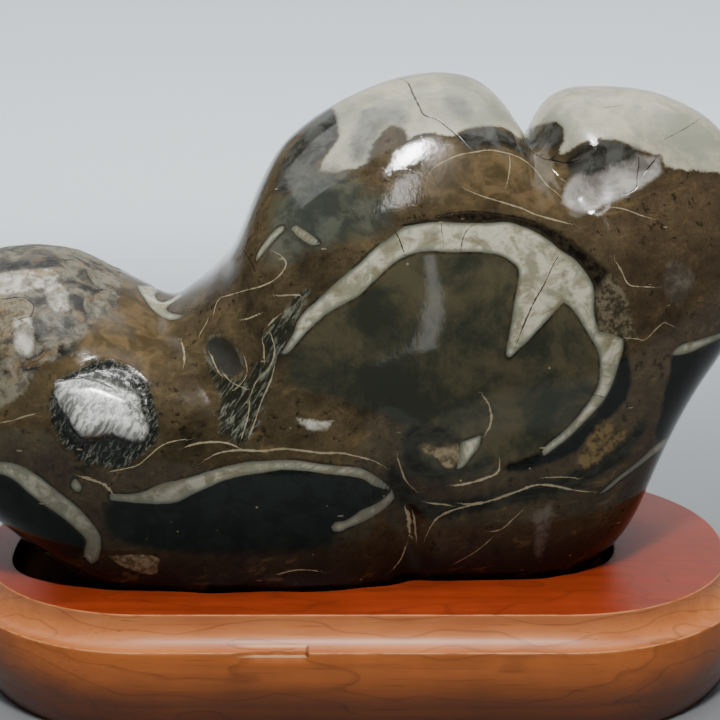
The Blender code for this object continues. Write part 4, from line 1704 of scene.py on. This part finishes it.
def add_softbox(name, place, aim, size, power, colour="#ffffff", spread=180):
    """A rectangular soft light that faces its aim; a grid on it narrows its spread, in degrees."""
    light = bpy.data.lights.new(name, "AREA")
    light.shape = "RECTANGLE"
    light.size, light.size_y = size
    light.spread = math.radians(spread)
    light.energy = power
    light.color = linear(colour)[:3]
    made = put(name, light)
    made.location = place
    made.rotation_euler = (Vector(aim) - Vector(place)).to_track_quat("-Z", "Y").to_euler()


def make_lights(settings):
    """A high window over its lower panes, a door frame, a dim ceiling, and the wall's own light.

    The wall's light has a grid, which keeps it off the stone.
    """
    # Each lamp: its name, place and aim, its width and height, its watts, its colour and spread
    lamps = (
        ("window", toward(1.5, 59.5), HUMP, (0.09, 0.20), 15),
        ("window's lower panes", toward(5, 44), HUMP, (0.06, 0.28), 0.8),
        ("door frame", (0.128, -0.66, 0.2275), (0.023, -0.05, 0.15), (0.022, 0.325), 0.055),
        ("ceiling", (-0.1, 0.5, 2.3), (0.0, 0.0, 0.1), (3.4, 3.4), 80),
        ("wall wash", (0.0, 1.0, 1.7), (0.0, 1.15, 0.0), (2.6, 0.5), 47.5, "#f6faff", 70),
    )
    for name, place, aim, size, power, *rest in lamps:
        add_softbox(name, place, aim, size, power * settings.light_strength, *rest)

    world = bpy.data.worlds.new("dim room")
    world.use_nodes = True
    sky = world.node_tree.nodes["Background"]
    sky.inputs["Color"].default_value = linear(ROOM_COLOUR)
    sky.inputs["Strength"].default_value = ROOM_STRENGTH
    bpy.context.scene.world = world


def make_camera():
    """The camera that took the photograph, as far as the stand's outlines give it."""
    lens = bpy.data.cameras.new("camera")
    lens.sensor_width = SENSOR_MM
    lens.lens = FOCAL_PX / IMAGE_PX * SENSOR_MM
    camera = put("camera", lens)
    camera.location = Vector(CAMERA_MM) * MM
    camera.rotation_euler = (math.pi / 2 - CAMERA_DOWN, 0, 0)
    bpy.context.scene.camera = camera


# The add-on

class NautilusStoneSettings(bpy.types.PropertyGroup):
    """Finish of the stone."""

    matrix_code: bpy.props.StringProperty(
        name="Matrix",
        description="sRGB hex code of the olive brown of the stone's matrix",
        default="#4a3f2d",
    )
    polish: bpy.props.FloatProperty(
        name="Polish",
        description="Roughness of the polished stone where it shines most",
        default=0.03, min=0.02, max=0.6, subtype="FACTOR",
    )


class NautilusStandSettings(bpy.types.PropertyGroup):
    """Sizes and stain of the stand."""

    top_length: bpy.props.FloatProperty(
        name="Top length", description="Length of the board's flat top",
        default=0.28, min=0.1, unit="LENGTH",
    )
    top_depth: bpy.props.FloatProperty(
        name="Top depth", description="Depth of the board's flat top",
        default=0.142, min=0.05, unit="LENGTH",
    )
    end_radius: bpy.props.FloatProperty(
        name="End radius", description="Radius of the round ends at the flat top's edge",
        default=0.0675, min=0.01, unit="LENGTH",
    )
    cove_out: bpy.props.FloatProperty(
        name="Cove width", description="How far the cove brings the edge out",
        default=0.0074, min=0.001, unit="LENGTH",
    )
    cove_drop: bpy.props.FloatProperty(
        name="Cove drop", description="How far below the top the cove ends",
        default=0.0105, min=0.001, unit="LENGTH",
    )
    stain_code: bpy.props.StringProperty(
        name="Stain", description="sRGB hex code of the stain on the flat top", default="#983716",
    )


class NautilusStageSettings(bpy.types.PropertyGroup):
    """Light and background."""

    light_strength: bpy.props.FloatProperty(
        name="Light", description="Strength of the studio lights", default=1.0, min=0.0, max=10.0,
    )
    paper_colour: bpy.props.FloatVectorProperty(
        name="Paper", description="Colour of the floor and the background",
        default=linear("#808385")[:3], min=0.0, max=1.0, size=3, subtype="COLOR",
    )


class NAUTILUS_OT_stone(bpy.types.Operator):
    """Makes the polished stone with its markings"""

    bl_idname = "nautilus.stone"
    bl_label = "Make Stone"

    def execute(self, context):
        stone = make_stone(context.scene.nautilus_stone)
        finish_piece(stone, "fossil_nautilus")
        return {"FINISHED"}


class NAUTILUS_OT_stand(bpy.types.Operator):
    """Makes the moulded hardwood stand with the stone's pocket"""

    bl_idname = "nautilus.stand"
    bl_label = "Make Stand"

    def execute(self, context):
        stand = make_stand(context.scene.nautilus_stand)
        finish_piece(stand, "wooden_stand")
        return {"FINISHED"}


class NAUTILUS_OT_stage(bpy.types.Operator):
    """Sets the camera, the floor and the lights"""

    bl_idname = "nautilus.stage"
    bl_label = "Set Stage"

    def execute(self, context):
        settings = context.scene.nautilus_stage
        make_camera()
        make_floor(settings)
        make_lights(settings)
        return {"FINISHED"}


class NAUTILUS_PT_panel(bpy.types.Panel):
    """Lists the pieces and their settings"""

    bl_idname = "NAUTILUS_PT_panel"
    bl_label = "Fossil Nautilus"
    bl_space_type = "VIEW_3D"
    bl_region_type = "UI"
    bl_category = "Nautilus"

    def draw(self, context):
        for group, operator in GROUPS:
            box = self.layout.box()
            settings = getattr(context.scene, group)
            for name in settings.__annotations__:
                box.prop(settings, name)
            box.operator(operator)


GROUPS = (
    ("nautilus_stone", "nautilus.stone"),
    ("nautilus_stand", "nautilus.stand"),
    ("nautilus_stage", "nautilus.stage"),
)
SETTINGS = (NautilusStoneSettings, NautilusStandSettings, NautilusStageSettings)
CLASSES = (
    *SETTINGS, NAUTILUS_OT_stone, NAUTILUS_OT_stand, NAUTILUS_OT_stage, NAUTILUS_PT_panel,
)


def register():
    for made in CLASSES:
        bpy.utils.register_class(made)
    for (group, _), settings in zip(GROUPS, SETTINGS):
        setattr(bpy.types.Scene, group, bpy.props.PointerProperty(type=settings))


def unregister():
    for group, _ in GROUPS:
        delattr(bpy.types.Scene, group)
    for made in reversed(CLASSES):
        bpy.utils.unregister_class(made)


def main():
    register()
    bpy.ops.nautilus.stage()
    bpy.ops.nautilus.stand()
    bpy.ops.nautilus.stone()


if __name__ == "__main__":
    main()
